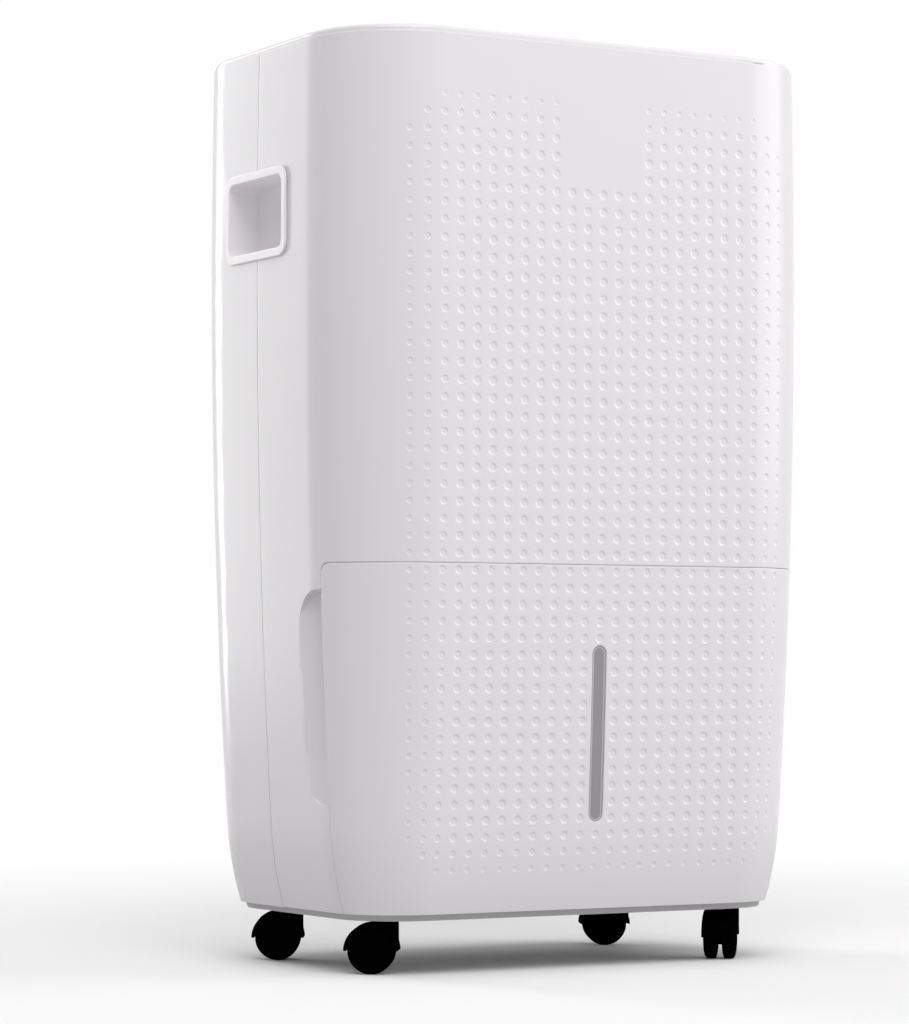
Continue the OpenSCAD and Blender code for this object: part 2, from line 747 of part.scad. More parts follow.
module fan_scroll() {
  color(light) difference() {
    union() {
      translate([fan_x, scroll_y0 + scroll_d, fan_z]) rotate([90, 0, 0]) linear_extrude(scroll_d) scroll_outline(0);
      // feet on the chassis
      for (x = scroll_feet) translate([x - 6, scroll_y0 + 14, deck_z + 8]) cube([12, 32, 70]);
    }
    translate([fan_x, scroll_y0 + scroll_d, fan_z]) rotate([90, 0, 0]) translate([0, 0, -1])
      linear_extrude(scroll_d + 1 - scroll_t) scroll_outline(scroll_t);
    // open top and shaft way
    translate([-outlet_w / 2 + 6 + scroll_t, scroll_y0 + scroll_t, duct_top - 10])
      cube([outlet_w - 12 - 2 * scroll_t, scroll_d - scroll_t + 1, 40]);
    translate([fan_x, scroll_y0 - 5, fan_z]) rotate([-90, 0, 0]) cylinder(r = 14, h = 20);
  }
}

module scroll_cover() {
  y0 = scroll_y0 + scroll_d;
  color(light) translate([fan_x, y0 + scroll_t, fan_z]) rotate([90, 0, 0]) difference() {
    union() {
      linear_extrude(scroll_t) scroll_outline(0);
      // bell mouth
      translate([0, 0, 0]) rotate_extrude() translate([inlet_r + 4, 0]) difference() {
        circle(r = 4, $fn = 48);
        translate([0, -10]) square(20);
        translate([-10, -20]) square(20);
        translate([0, 0]) circle(r = 2, $fn = 48);
      }
    }
    translate([0, 0, -1]) cylinder(r = inlet_r + 3, h = 20);
  }
}

wheel_y0 = scroll_y0 + 8;

module fan_wheel() {
  blade_r = 12;
  ring_t = 2;
  color("#d9dadc") translate([fan_x, wheel_y0, fan_z]) rotate([-90, 0, 0]) difference() {
    union() {
      cylinder(r = fan_r, h = ring_t);
      cylinder(r = 11, h = 22);
      translate([0, 0, fan_w - ring_t]) difference() {
        cylinder(r = fan_r, h = ring_t);
        translate([0, 0, -1]) cylinder(r = fan_r - 11, h = 10);
      }
      for (i = [0 : fan_blades - 1]) rotate([0, 0, i * 360 / fan_blades])
        translate([fan_r - 6.5, 0, ring_t - eps]) linear_extrude(fan_w - 2 * ring_t + 2 * eps) intersection() {
          translate([0, -blade_r + 2.6]) difference() {
            circle(r = blade_r, $fn = 60);
            circle(r = blade_r - 0.9, $fn = 60);
          }
          translate([-5, -4]) square([10.5, 12]);
        }
    }
    translate([0, 0, -1]) cylinder(r = shaft_r, h = 40);
  }
}

module fan_shaft() {
  color(alloy) translate([fan_x, scroll_y0 - 40, fan_z]) rotate([-90, 0, 0])
    cylinder(r = shaft_r, h = wheel_y0 + 22 - scroll_y0 + 40);
}

module fan_motor() {
  color(grey) translate([fan_x, scroll_y0, fan_z]) rotate([90, 0, 0]) difference() {
    union() {
      cylinder(r = motor_r, h = 4);
      can(motor_r - 2, 50, 4);
      for (a = [45 : 90 : 315]) rotate([0, 0, a]) {
        translate([0, -5, 0]) cube([motor_r + 8, 10, 4]);
        translate([motor_r + 8, 0, 0]) cylinder(r = 5, h = 4);
      }
      translate([0, 0, 50 - eps]) cylinder(r = 12, h = 5);
    }
    translate([0, 0, -1]) cylinder(r = shaft_r + pin_gap, h = 41.2);
    for (a = [45 : 90 : 315]) rotate([0, 0, a]) translate([motor_r + 8, 0, -1]) cylinder(r = 2, h = 8);
  }
}

// ---------------------------------------------------------------- refrigeration

comp_y = 64;
foot_angles = [30, 150, 270];
foot_pad_r = 8;
comp_foot_r = comp_r + 5;
foot_h = 14;
comp_z = pan_floor + 2 + foot_h;
accu_x = comp_x - comp_r - accu_r - 6;
accu_z = comp_z + 30;
pipe_r = 3;
rise_x = comp_x - 30;
rise_y = 37;

// A turned can with domed ends
module can(r, h, dome) {
  rotate_extrude() {
    square([r - dome, h]);
    translate([0, dome]) square([r, h - 2 * dome]);
    for (z = [dome, h - dome]) intersection() {
      translate([r - dome, z]) circle(r = dome, $fn = 64);
      translate([0, z - dome]) square([r, 2 * dome]);
    }
  }
}

module compressor() {
  color(dark) translate([comp_x, comp_y, comp_z]) difference() {
    union() {
      translate([0, 0, 3]) can(comp_r, comp_h, 18);
      linear_extrude(3) {
        circle(r = comp_r - 6);
        for (a = foot_angles) rotate([0, 0, a]) {
          translate([0, -foot_pad_r - 1]) square([comp_foot_r, 2 * foot_pad_r + 2]);
          translate([comp_foot_r, 0]) circle(r = foot_pad_r + 1);
        }
      }
      translate([-14, -14, comp_h]) rounded_box(2, 2, 3, 0.5);
      translate([0, 0, comp_h]) rounded_box(44, 34, 20, 5);
      // bracket that holds the accumulator
      translate([-comp_r - 5.5, -6, 80]) cube([8, 12, 16]);
    }
    for (a = foot_angles) rotate([0, 0, a]) translate([comp_foot_r, 0, -1]) cylinder(r = 6, h = 8);
  }
}

module compressor_feet() {
  color("#1d1d1f") for (a = foot_angles) translate([comp_x, comp_y, 0]) rotate([0, 0, a]) translate([comp_foot_r, 0, comp_z])
    difference() {
      union() {
        translate([0, 0, -foot_h]) cylinder(r = foot_pad_r, h = foot_h);
        translate([0, 0, -eps]) cylinder(r = 5.9, h = 3.2);
        translate([0, 0, 3.1]) cylinder(r = foot_pad_r - 1, h = 3);
      }
      translate([0, 0, -foot_h - 1]) cylinder(r = 3.05, h = foot_h + 12);
    }
}

module accumulator() {
  color(dark) translate([accu_x, comp_y, accu_z]) can(accu_r, accu_h, 12);
}

// A bent pipe along a path
module pipe(path, r) {
  for (i = [0 : len(path) - 2]) hull() {
    translate(path[i]) sphere(r = r, $fn = 16);
    translate(path[i + 1]) sphere(r = r, $fn = 16);
  }
}

module refrigerant_pipes() {
  top = comp_z + comp_h + 3;
  end = pipe_r + 0.1;
  side_x = coil_w / 2 + 2;
  out_x = side_x + 21;
  head_z = coil_hi - 5;
  accu_top = accu_z + accu_h;
  color(copper) {
    // discharge: compressor to the condenser's upper end
    pipe([[rise_x, comp_y, top + end], [rise_x, comp_y, top + 12], [rise_x, rise_y, top + 12],
          [rise_x, rise_y, deck_z + 8], [out_x, rise_y, deck_z + 14], [out_x, cond_y + 6, head_z],
          [side_x + end, cond_y + 6, head_z]], pipe_r);
    // suction: evaporator's upper end to the accumulator
    pipe([[-side_x - end, evap_y + 6, head_z], [-out_x, evap_y + 6, head_z], [-out_x, evap_y + 6, deck_z + 40],
          [-out_x, rise_y, deck_z + 18], [accu_x, rise_y, deck_z + 18], [accu_x, rise_y, accu_top + 14],
          [accu_x, comp_y, accu_top + 14], [accu_x, comp_y, accu_top + end]], pipe_r);
  }
}

module capacitor() {
  cap_r = 17;
  cap_h = 62;
  color(light) translate([-half_w + cap_r + 28, tank_plane + 2, deck_z]) {
    can(cap_r, cap_h, 3);
    for (x = [-5, 5]) translate([x - 2.4, -0.4, cap_h - 1]) cube([4.8, 0.8, 9]);
  }
}

module humidity_sensor() {
  color("#2f6b4a") translate([coil_w / 2 + 2, evap_y + 4, coil_lo + 2 * coil_row - 8]) {
    cube([1.6, 14, 16]);
    translate([1.6 - eps, 3, 3]) cube([5, 8, 10]);
  }
}

module tank_sensor() {
  color(dark) translate([float_x - 12, bulkhead_y - 7, bucket_top - 26]) {
    cube([24, 7, 14]);
    translate([-6, 5, 3]) cube([36, 2, 8]);
  }
}

// ---------------------------------------------------------------- rear fittings

port_tube_r = 8;
gland_r = 6;

module drain_port() {
  color(grey) translate([port_x, port_floor, port_z]) rotate([-90, 0, 0]) difference() {
    union() {
      translate([0, 0, -10]) cylinder(r = port_tube_r, h = 10 + 12);
      translate([0, 0, -duct_t - 3]) cylinder(r = 12, h = 3);
    }
    translate([0, 0, -11]) cylinder(r = port_tube_r - 2.2, h = 30);
  }
}

module drain_cap() {
  color(white) translate([port_x, port_floor, port_z]) rotate([-90, 0, 0]) difference() {
    union() {
      translate([0, 0, 1]) cylinder(r = 11.5, h = 13.4);
      for (a = [0 : 30 : 330]) rotate([0, 0, a]) translate([11.3, 0, 1]) cylinder(r = 0.9, h = 13.4, $fn = 24);
    }
    translate([0, 0, 0]) cylinder(r = port_tube_r + pin_gap, h = 12.3);
  }
}

module cord_gland() {
  color("#1d1d1f") translate([gland_x, gland_floor, gland_z]) rotate([-90, 0, 0]) difference() {
    union() {
      cylinder(r = gland_r + 3.5, h = 2);
      translate([0, 0, -duct_t - 3]) cylinder(r = gland_r, h = 3 + duct_t + eps);
      translate([0, 0, 2 - eps]) cylinder(r1 = gland_r, r2 = gland_r - 1.5, h = 5);
    }
    translate([0, 0, -10]) cylinder(r = 3.2, h = 30);
  }
}

// ---------------------------------------------------------------- filter cassette

frame_w = intake_w - 2 * slide_gap;
frame_h = intake_h - 2 * slide_gap;
cassette_y = filter_y + fit;
cassette_d = 14;
frame_rim = 9;
mesh_t = 1.2;

module filter_frame() {
  bar_pitch = (frame_h - 2 * frame_rim) / intake_bars;
  color(white) translate([0, cassette_y, intake_mid]) rotate([-90, 0, 0]) {
    difference() {
      rounded_box(frame_w, frame_h, cassette_d, 6 - slide_gap);
      translate([0, 0, -1]) rounded_box(frame_w - 2 * frame_rim, frame_h - 2 * frame_rim, 40, 4);
      // seat of the mesh
      translate([0, 0, -1]) rounded_box(frame_w - 2 * frame_rim + 8, frame_h - 2 * frame_rim + 8, 1 + mesh_t + 0.8, 5);
    }
    for (i = [0 : intake_bars - 1])
      translate([-frame_w / 2 + frame_rim - 1, -frame_h / 2 + frame_rim + (i + 0.5) * bar_pitch, 4]) rotate([-25, 0, 0])
        translate([0, -0.9, 0]) cube([frame_w - 2 * frame_rim + 2, 1.8, 9]);
    for (x = [-56, 0, 56]) translate([x - 1.2, -frame_h / 2 + frame_rim - 1, 2.4]) cube([2.4, frame_h - 2 * frame_rim + 2, 6]);
    // pull tab at the upper edge
    translate([-22, -frame_h / 2 + 1.5, cassette_d - eps]) cube([44, 5, 1.4]);
  }
}

module filter_mesh() {
  // sixteen by nineteen square holes
  cell = (frame_w - 30.8) / 16;
  cell_h = (frame_h - 28.8) / 19;
  color(grey) translate([0, cassette_y, intake_mid]) rotate([-90, 0, 0]) translate([0, 0, 0.6]) difference() {
    rounded_box(frame_w - 2 * frame_rim + 7.6, frame_h - 2 * frame_rim + 7.6, mesh_t, 4.8);
    for (i = [-8 : 7], j = [-9 : 9]) translate([(i + 0.5) * cell - 0.383 * cell, j * cell_h - 0.383 * cell_h, -1])
      cube([0.766 * cell, 0.766 * cell_h, 4]);
  }
}

// ---------------------------------------------------------------- tank

float_x = 60;

module window_slot(grow) {
  mid = (window_lo + window_hi) / 2;
  translate([0, -half_d - 5, mid]) rotate([-90, 0, 0]) linear_extrude(60)
    slot_2d(window_w + grow, window_hi - window_lo + grow);
}

module tank_front() {
  lip = 9;
  color(white) difference() {
    union() {
      intersection() {
        form_shell(0, tank_wall, skirt_z, tank_top);
        tank_place(tank_gap);
      }
      // inward lip along the upper edge
      intersection() {
        form_shell(tank_wall - eps, tank_wall + lip, tank_top - tank_gap - 3, tank_top - tank_gap);
        y_slab(-half_d, tank_plane - tank_round - 6);
      }
    }
    window_slot(0);
  }
}

module tank_window() {
  color("#b9b9bd") intersection() {
    form_shell(0.7, tank_wall, skirt_z, tank_top);
    y_slab(-half_d - 5, -half_d + 40);
    window_slot(-2 * pin_gap);
  }
}

module bucket_form(t, lo, hi) {
  intersection() {
    form(tank_wall + fit + t, lo, hi);
    translate([-bucket_w / 2 + t, -half_d - 5, lo]) cube([bucket_w - 2 * t, bucket_back + 5 - t, hi - lo]);
  }
}

module tank_bucket() {
  color("#dfe3e6") difference() {
    union() {
      bucket_form(0, bucket_z, bucket_top);
    }
    bucket_form(bucket_wall, bucket_z + bucket_wall, bucket_top + 1);
  }
}

lid_t = 2.4;
lid_top = bucket_top + lid_t;
float_y = -30;
float_z = bucket_top - 9;
ear_gap = 17;

module tank_lid() {
  color(light) difference() {
    union() {
      bucket_form(0, bucket_top, lid_top);
      // rib inside the bucket's mouth
      difference() {
        bucket_form(bucket_wall + fit, bucket_top - 4, bucket_top + eps);
        bucket_form(bucket_wall + fit + 1.8, bucket_top - 5, bucket_top + 1);
      }
      // ears that carry the float
      for (s = [-1, 1]) translate([float_x + s * ear_gap - 1.5, float_y - 5, float_z - 5])
        cube([3, 10, bucket_top - float_z + 5 + eps]);
    }
    // dished drip hole and pouring mouth
    translate([drip_x, drip_y, bucket_top - 10]) cylinder(r = 18, h = 30);
    translate([-bucket_w / 2 + 40, -half_d + 50, bucket_top - 10]) rounded_box(44, 60, 30, 10);
    translate([float_x - 30, float_y, float_z]) rotate([0, 90, 0]) cylinder(r = 1.5 + pin_gap, h = 60);
  }
}

module float_arm() {
  block = [30, 38, 16];
  drop = 26;
  reach = 30;
  color("#e9e6dc") {
    translate([float_x - ear_gap - 1.5, float_y, float_z]) rotate([0, 90, 0]) cylinder(r = 1.5, h = 2 * ear_gap + 3, $fn = 48);
    translate([float_x - 6, float_y - 3, float_z - 3]) cube([12, 6, 6]);
    translate([float_x - 3, float_y - reach - 4, float_z - drop]) cube([6, 5, drop]);
    translate([float_x - 3, float_y - reach, float_z - 3]) cube([6, reach, 3]);
    translate([float_x, float_y - reach - block[1] / 2 + 5, float_z - drop - block[2] + eps]) rounded_box(block[0], block[1], block[2], 5);
  }
}

// ---------------------------------------------------------------- casters

corner_names = ["fl", "fr", "rl", "rr"];
corner_at = [[-stem_x, -stem_front], [stem_x, -stem_front], [-stem_x, stem_rear], [stem_x, stem_rear]];
// direction in which each caster trails, in plan
trail_turn = [146, 228, 150, 152];
web_w = 5;
axle_r = 2;
hood_gap = 0.6;
hood_w = web_w + 2 * wheel_w + 2 * 0.4;
hood_top = pan_lo - fit;
block_front = 7;

// Local frame of a caster: stem axis on Z, trail along +X, axle along Y
module caster_frame(i) {
  translate([corner_at[i][0], corner_at[i][1], 0]) rotate([0, 0, trail_turn[i]]) children();
}

module hood_2d() {
  intersection() {
    union() {
      translate([trail, wheel_r]) circle(r = hood_r);
      translate([-block_front, wheel_r + 4]) square([trail + block_front, hood_top - wheel_r - 4]);
    }
    translate([-50, wheel_r]) square([100, hood_top - wheel_r]);
  }
}

module yoke(i) {
  color(dark) caster_frame(i) {
    difference() {
      union() {
        translate([0, hood_w / 2, 0]) rotate([90, 0, 0]) linear_extrude(hood_w) hood_2d();
        // web between the wheels, with the axle's boss
        translate([0, web_w / 2 - 0.6, 0]) rotate([90, 0, 0]) linear_extrude(web_w - 1.2) translate([trail, wheel_r]) circle(r = 6);
        translate([0, 0, hood_top - eps]) cylinder(r = stem_r, h = stem_l + pan_lo - hood_top - 1);
      }
      for (s = [-1, 1]) translate([trail, s > 0 ? web_w / 2 + wheel_w + 5 : -web_w / 2, wheel_r]) rotate([90, 0, 0])
        cylinder(r = wheel_r + hood_gap, h = wheel_w + 5);
      translate([trail, 10, wheel_r]) rotate([90, 0, 0]) cylinder(r = axle_r + pin_gap, h = 20);
    }
  }
}

module axle(i) {
  color(alloy) caster_frame(i) translate([trail, hood_w / 2 - 2, wheel_r]) rotate([90, 0, 0]) cylinder(r = axle_r, h = hood_w - 4);
}

// A wheel with a rounded tread and a domed outer face
module caster_wheel(i, side) {
  color(dark) caster_frame(i) translate([trail, side * (web_w / 2 + 0.3), wheel_r]) rotate([-90 * side, 0, 0]) difference() {
    rotate_extrude() difference() {
      union() {
        square([wheel_r - 2, wheel_w - 0.6]);
        translate([0, 1.2]) square([wheel_r, wheel_w - 4]);
        translate([wheel_r - 1.2, 1.2]) circle(r = 1.2, $fn = 32);
        translate([wheel_r - 2.2, wheel_w - 2.8]) circle(r = 2.2, $fn = 48);
      }
      translate([-50, -50]) square([50, 100]);
      // hollow round the hub on the inner face
      translate([axle_r + 3, -1]) square([wheel_r - axle_r - 6, 3]);
    }
    translate([0, 0, -1]) cylinder(r = axle_r + pin_gap, h = wheel_w - 0.6);
  }
}

// ---------------------------------------------------------------- nodes

base_pan();
chassis();
front_shell();
rear_shell();
top_cover();
outlet_grille();
control_panel();
display_lens();
control_box();
control_board();
push_button(0);  // button_power
push_button(1);  // button_mode
push_button(2);  // button_fan
push_button(3);  // button_up
push_button(4);  // button_down
handle(-1);  // handle_left
handle(1);  // handle_right
evaporator();
condenser();
drip_tray();
fan_scroll();
scroll_cover();
fan_motor();
fan_shaft();
fan_wheel();
compressor();
compressor_feet();
accumulator();
refrigerant_pipes();
capacitor();
humidity_sensor();
tank_sensor();
cord_gland();
drain_port();
drain_cap();
rear_screws();
filter_frame();
filter_mesh();
tank_front();
tank_bucket();
tank_window();
tank_lid();
float_arm();
for (i = [0 : 3]) {
  yoke(i);
  axle(i);
  caster_wheel(i, 1);
  caster_wheel(i, -1);
}
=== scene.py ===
"""Looks of an upright dehumidifier: dimpled glossy housing, dark twin-wheel casters, studio."""
import json
import math

import bmesh
import bpy
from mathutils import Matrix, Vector

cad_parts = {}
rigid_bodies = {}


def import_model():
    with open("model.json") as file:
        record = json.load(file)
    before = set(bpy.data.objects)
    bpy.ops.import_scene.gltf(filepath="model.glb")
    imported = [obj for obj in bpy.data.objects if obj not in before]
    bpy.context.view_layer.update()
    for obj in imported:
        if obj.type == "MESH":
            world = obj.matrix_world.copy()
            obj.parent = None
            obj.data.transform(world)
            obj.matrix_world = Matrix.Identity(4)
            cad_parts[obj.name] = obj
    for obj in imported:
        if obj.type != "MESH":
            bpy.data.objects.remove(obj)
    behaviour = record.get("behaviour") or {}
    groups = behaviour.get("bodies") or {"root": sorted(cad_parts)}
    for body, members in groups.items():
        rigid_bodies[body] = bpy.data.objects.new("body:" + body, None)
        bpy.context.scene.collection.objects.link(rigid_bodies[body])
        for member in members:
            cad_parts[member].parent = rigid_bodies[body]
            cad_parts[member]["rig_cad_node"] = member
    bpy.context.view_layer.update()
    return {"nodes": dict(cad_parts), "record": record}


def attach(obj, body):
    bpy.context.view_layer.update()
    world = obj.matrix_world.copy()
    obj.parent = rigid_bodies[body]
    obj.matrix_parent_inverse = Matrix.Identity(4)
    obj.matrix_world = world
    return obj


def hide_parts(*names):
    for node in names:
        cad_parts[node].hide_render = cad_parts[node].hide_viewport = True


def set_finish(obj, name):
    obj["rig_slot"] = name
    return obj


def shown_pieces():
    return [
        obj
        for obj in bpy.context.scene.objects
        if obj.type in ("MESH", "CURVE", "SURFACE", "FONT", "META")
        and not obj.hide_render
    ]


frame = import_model()
NODES = frame["nodes"]
MM = 0.001
WELD = 2e-6                         # corners closer than this are one, metres

# ------------------------------------------------------------------ housing form, millimetres

HALF_W, HALF_D = 187.0, 130.0
CORNER = 68.0                       # plan radius of the front corners
CORNER_X, CORNER_Y = HALF_W - CORNER, HALF_D - CORNER
BULGE_R, BELLY_Z = 6400.0, 463.0    # long bulge of the walls
TUCK_R, TUCK_Z = 250.0, 95.0        # tuck above the lower edge
SKIRT_Z, SHELL_TOP = 40.0, 611.5
SEAM_Y = 7.75                       # rear edge of the front shell
ARC_END = CORNER_X + CORNER * math.pi / 2
SIDE_END = ARC_END + CORNER_Y + SEAM_Y
TANK_TOP, TANK_PLANE, TANK_ROUND, TANK_GAP = 269.0, -74.0, 7.0, 0.2
SHELL_WALL, TANK_WALL = 2.6, 3.0
EDGE_ROLL = 0.5                     # rounding of the moulded rims
ROLL_TURNS = (30, 60, 90)           # degrees at which the rounding has its edges
BEND = math.asin((BELLY_Z - TUCK_Z) / BULGE_R)
TUCK_CENTRE = BELLY_Z - (BULGE_R - TUCK_R) * math.sin(BEND)
TUCK_BASE = BULGE_R - (BULGE_R - TUCK_R) * math.cos(BEND)

# dimple field
PITCH_S, PITCH_Z = 12.1, 11.19
COLUMNS, ROWS, TANK_ROW = 25, 46, 27
MIDDLE_ROW, MIDDLE_ROW_Z, ROW_CLOSING = 22, 319.8, 0.0011
NAME_ROWS, NAME_COLUMNS = range(0, 5), range(10, 15)   # the bare place on the upper front
MIDDLE_COLUMN = 12
COLUMN_FADE = (0.68, 0.76, 0.86, 0.94)
ROW_FADE = (0.6, 0.78, 0.9)
WINDOW_ROW, WINDOW_END_ROW = 32, 42
DIMPLE_R = 3.5
DISH_STEPS = ((0.5, 0.13), (0.7, 0.36), (0.55, 0.15))   # width and drop from the rim inwards
WINDOW_W, WINDOW_LO, WINDOW_HI = 11.0, 98.6, 215.5
STRIP_BELOW, STRIP_ABOVE = 1.6, 0.65     # bare strips beyond the window's ends


def inset(z):
    """How far the wall stands inside the widest outline at a height."""
    if z >= TUCK_Z:
        return BULGE_R - math.sqrt(BULGE_R ** 2 - (z - BELLY_Z) ** 2)
    return TUCK_BASE - math.sqrt(TUCK_R ** 2 - (z - TUCK_CENTRE) ** 2)


def on_wall(s, z, depth=0.0):
    """A point of the housing's front half; s runs along the plan from the middle of the front."""
    slope = inset(z + 0.5) - inset(z - 0.5)
    length = math.hypot(1.0, slope)
    radius = CORNER - inset(z) - depth / length
    side = 1 if s >= 0 else -1
    along = abs(s)
    if along <= CORNER_X:
        x, y = s, -CORNER_Y - radius
    elif along <= ARC_END:
        turn = (along - CORNER_X) / CORNER
        x = side * (CORNER_X + radius * math.sin(turn))
        y = -CORNER_Y - radius * math.cos(turn)
    else:
        x, y = side * (CORNER_X + radius), -CORNER_Y + along - ARC_END
    return Vector((x, y, z - depth * slope / length)) * MM


def row_z(j):
    """Height of the middle of a dimple row; the rows stand a little closer near the bottom."""
    k = j - MIDDLE_ROW
    return MIDDLE_ROW_Z - (k - ROW_CLOSING * k * k) * PITCH_Z


def dimple_size(i, j):
    """Share of the full dimple size; the dimples fade towards the sides and ends of the field."""
    if j in (0, ROWS - 1) and not 2 <= i <= COLUMNS - 3:
        return 0.0
    if j in (1, ROWS - 2) and not 1 <= i <= COLUMNS - 2:
        return 0.0
    if j in NAME_ROWS and i in NAME_COLUMNS:
        return 0.0
    if i == MIDDLE_COLUMN and WINDOW_ROW <= j <= WINDOW_END_ROW:
        return 0.0
    edge = min(i, COLUMNS - 1 - i)
    size = COLUMN_FADE[edge] if edge < len(COLUMN_FADE) else 1.0
    end = min(j, ROWS - 1 - j)
    size = min(size, ROW_FADE[end] if end < len(ROW_FADE) else 1.0)
    return min(size, 0.86) if j == TANK_ROW else size


def spread(start, end, steps):
    """Even steps from a start, which is left out, to an end."""
    return [start + (end - start) * k / steps for k in range(1, steps + 1)]


def sheet_lines():
    """The lines of the sheet: upright ones along the plan, level ones from the top down, and the
    number of the level line above each dimple row.
    """
    field = PITCH_S * COLUMNS / 2
    half = [PITCH_S / 2 * k for k in range(1, COLUMNS + 1)]
    half += spread(field, ARC_END, 20) + spread(ARC_END, SIDE_END - EDGE_ROLL, 14)
    columns = [-s for s in reversed(half)] + [0.0] + half
    middles = [row_z(j) for j in range(ROWS)]
    first, last = middles[0] + PITCH_Z / 2, middles[-1] - PITCH_Z / 2
    # bare strips beside the parting line and the window's ends
    strips = {TANK_ROW - 1: [TANK_TOP + 1.2, TANK_TOP - 1.55],
              WINDOW_ROW - 1: [WINDOW_HI + 0.8, WINDOW_HI + STRIP_ABOVE],
              WINDOW_END_ROW: [WINDOW_LO - STRIP_BELOW, WINDOW_LO - 3.0], ROWS - 1: [last]}
    levels = [SHELL_TOP - EDGE_ROLL] + spread(SHELL_TOP - EDGE_ROLL, first, 4)
    tops = []
    for j, middle in enumerate(middles):
        tops.append(len(levels) - 1)
        levels += [middle] + (strips.get(j) or [(middle + middles[j + 1]) / 2])
    levels += spread(last, SKIRT_Z + EDGE_ROLL, 6)
    return columns, levels, tops


COLUMN_LINES, LEVEL_LINES, ROW_TOPS = sheet_lines()
FIRST_COLUMN = COLUMN_LINES.index(0.0) - COLUMNS


def wall_sheet():
    """The smooth outer skin of the front half, its dimple cells numbered in a face layer."""
    bm = bmesh.new()
    columns, levels = len(COLUMN_LINES) - 1, len(LEVEL_LINES) - 1
    bmesh.ops.create_grid(bm, x_segments=columns, y_segments=levels, size=0.5)
    cell = bm.faces.layers.int.new("cell")
    rows = {ROW_TOPS[j] + half: j for j in range(ROWS) for half in (0, 1)}
    for face in bm.faces:
        middle = face.calc_center_median()
        i = int((middle.x + 0.5) * columns) - FIRST_COLUMN
        k = int((0.5 - middle.y) * levels)
        if 0 <= i < 2 * COLUMNS and k in rows and dimple_size(i // 2, rows[k]):
            face[cell] = 1 + i // 2 + COLUMNS * rows[k]
    for vert in bm.verts:
        i = round((vert.co.x + 0.5) * columns)
        k = round((0.5 - vert.co.y) * levels)
        vert.co = on_wall(COLUMN_LINES[i], LEVEL_LINES[k])
    bm.normal_update()
    return bm


def everything(bm):
    """All faces, edges and corners of a bmesh."""
    return list(bm.faces) + list(bm.edges) + list(bm.verts)


def once(items):
    """The items in their order, each one once; a set's order would differ from run to run."""
    return list(dict.fromkeys(items))


def part_of(faces):
    """Faces with their edges and corners, as the operators take them."""
    edges = once(e for f in faces for e in f.edges)
    verts = once(v for f in faces for v in f.verts)
    return faces + edges + verts


def is_inside(face, planes):
    """Whether the middle of a face lies on the inner side of all planes."""
    middle = face.calc_center_median()
    return all((middle - Vector(point) * MM).dot(Vector(outward)) < 0 for point, outward in planes)


def carve(bm, planes, near):
    """Cuts a convex outline into the sheet and returns the faces inside it.

    A plane is a point and an outward direction. Only faces near the outline are cut.
    """
    for point, outward in planes:
        faces = [f for f in bm.faces if near(f.calc_center_median() / MM)]
        bmesh.ops.bisect_plane(bm, geom=part_of(faces), dist=1e-7,
                               plane_co=Vector(point) * MM, plane_no=outward)
    return [f for f in bm.faces if is_inside(f, planes)]


def arc_planes(centre, radius, start, end, steps, across):
    """Planes along the chords of an arc, in the plane of two axes."""
    planes = []
    for k in range(steps):
        a = start + (end - start) * (k + 0.5) / steps
        reach = radius * math.cos((end - start) / steps / 2)
        point, outward = [0.0, 0.0, 0.0], [0.0, 0.0, 0.0]
        for axis, share in zip(across, (math.cos(a), math.sin(a))):
            point[axis] = centre[axis] + reach * share
            outward[axis] = share
        planes.append((Vector(point), Vector(outward)))
    return planes


def tank_planes(grow):
    """The tank panel's outline seen from the side, larger by a margin."""
    side, top = TANK_PLANE + grow, TANK_TOP + grow
    centre = (0, side - TANK_ROUND, top - TANK_ROUND)
    arc = arc_planes(centre, TANK_ROUND, 0, math.pi / 2, 7, (1, 2))
    return [((0, side, 0), (0, 1, 0)), ((0, 0, top), (0, 0, 1))] + arc


def cut_tank_outline(bm, grow):
    """Cuts the tank panel's outline into the sheet and returns the faces inside it."""
    planes = tank_planes(grow)
    side = TANK_PLANE + grow
    carve(bm, planes[:1], lambda p: p.z < TANK_TOP + 12 and abs(p.y - TANK_PLANE) < 12)
    carve(bm, planes[1:2], lambda p: abs(p.z - TANK_TOP) < 12 and p.y < side)
    carve(bm, planes[2:], lambda p: abs(p.z - TANK_TOP + 4) < 9 and TANK_PLANE - 12 < p.y < side)
    return [f for f in bm.faces if is_inside(f, planes)]


def open_edges(bm):
    """The edges of the sheet's rims."""
    return [e for e in bm.edges if e.is_boundary]


def outward_of_rim(bm):
    """For each corner on an open rim, the direction that leads off the sheet, along the sheet."""
    lead = {}
    for edge in open_edges(bm):
        face = edge.link_faces[0]
        a, b = edge.verts
        away = face.normal.cross(b.co - a.co).normalized()
        if away.dot(face.calc_center_median() - a.co) > 0:
            away.negate()
        for vert in edge.verts:
            lead.setdefault(vert, []).append(away)
    result = {}
    for vert, ways in lead.items():
        way = sum(ways, Vector()) / len(ways)
        result[vert] = way / max(0.35, way.length_squared)
    return result


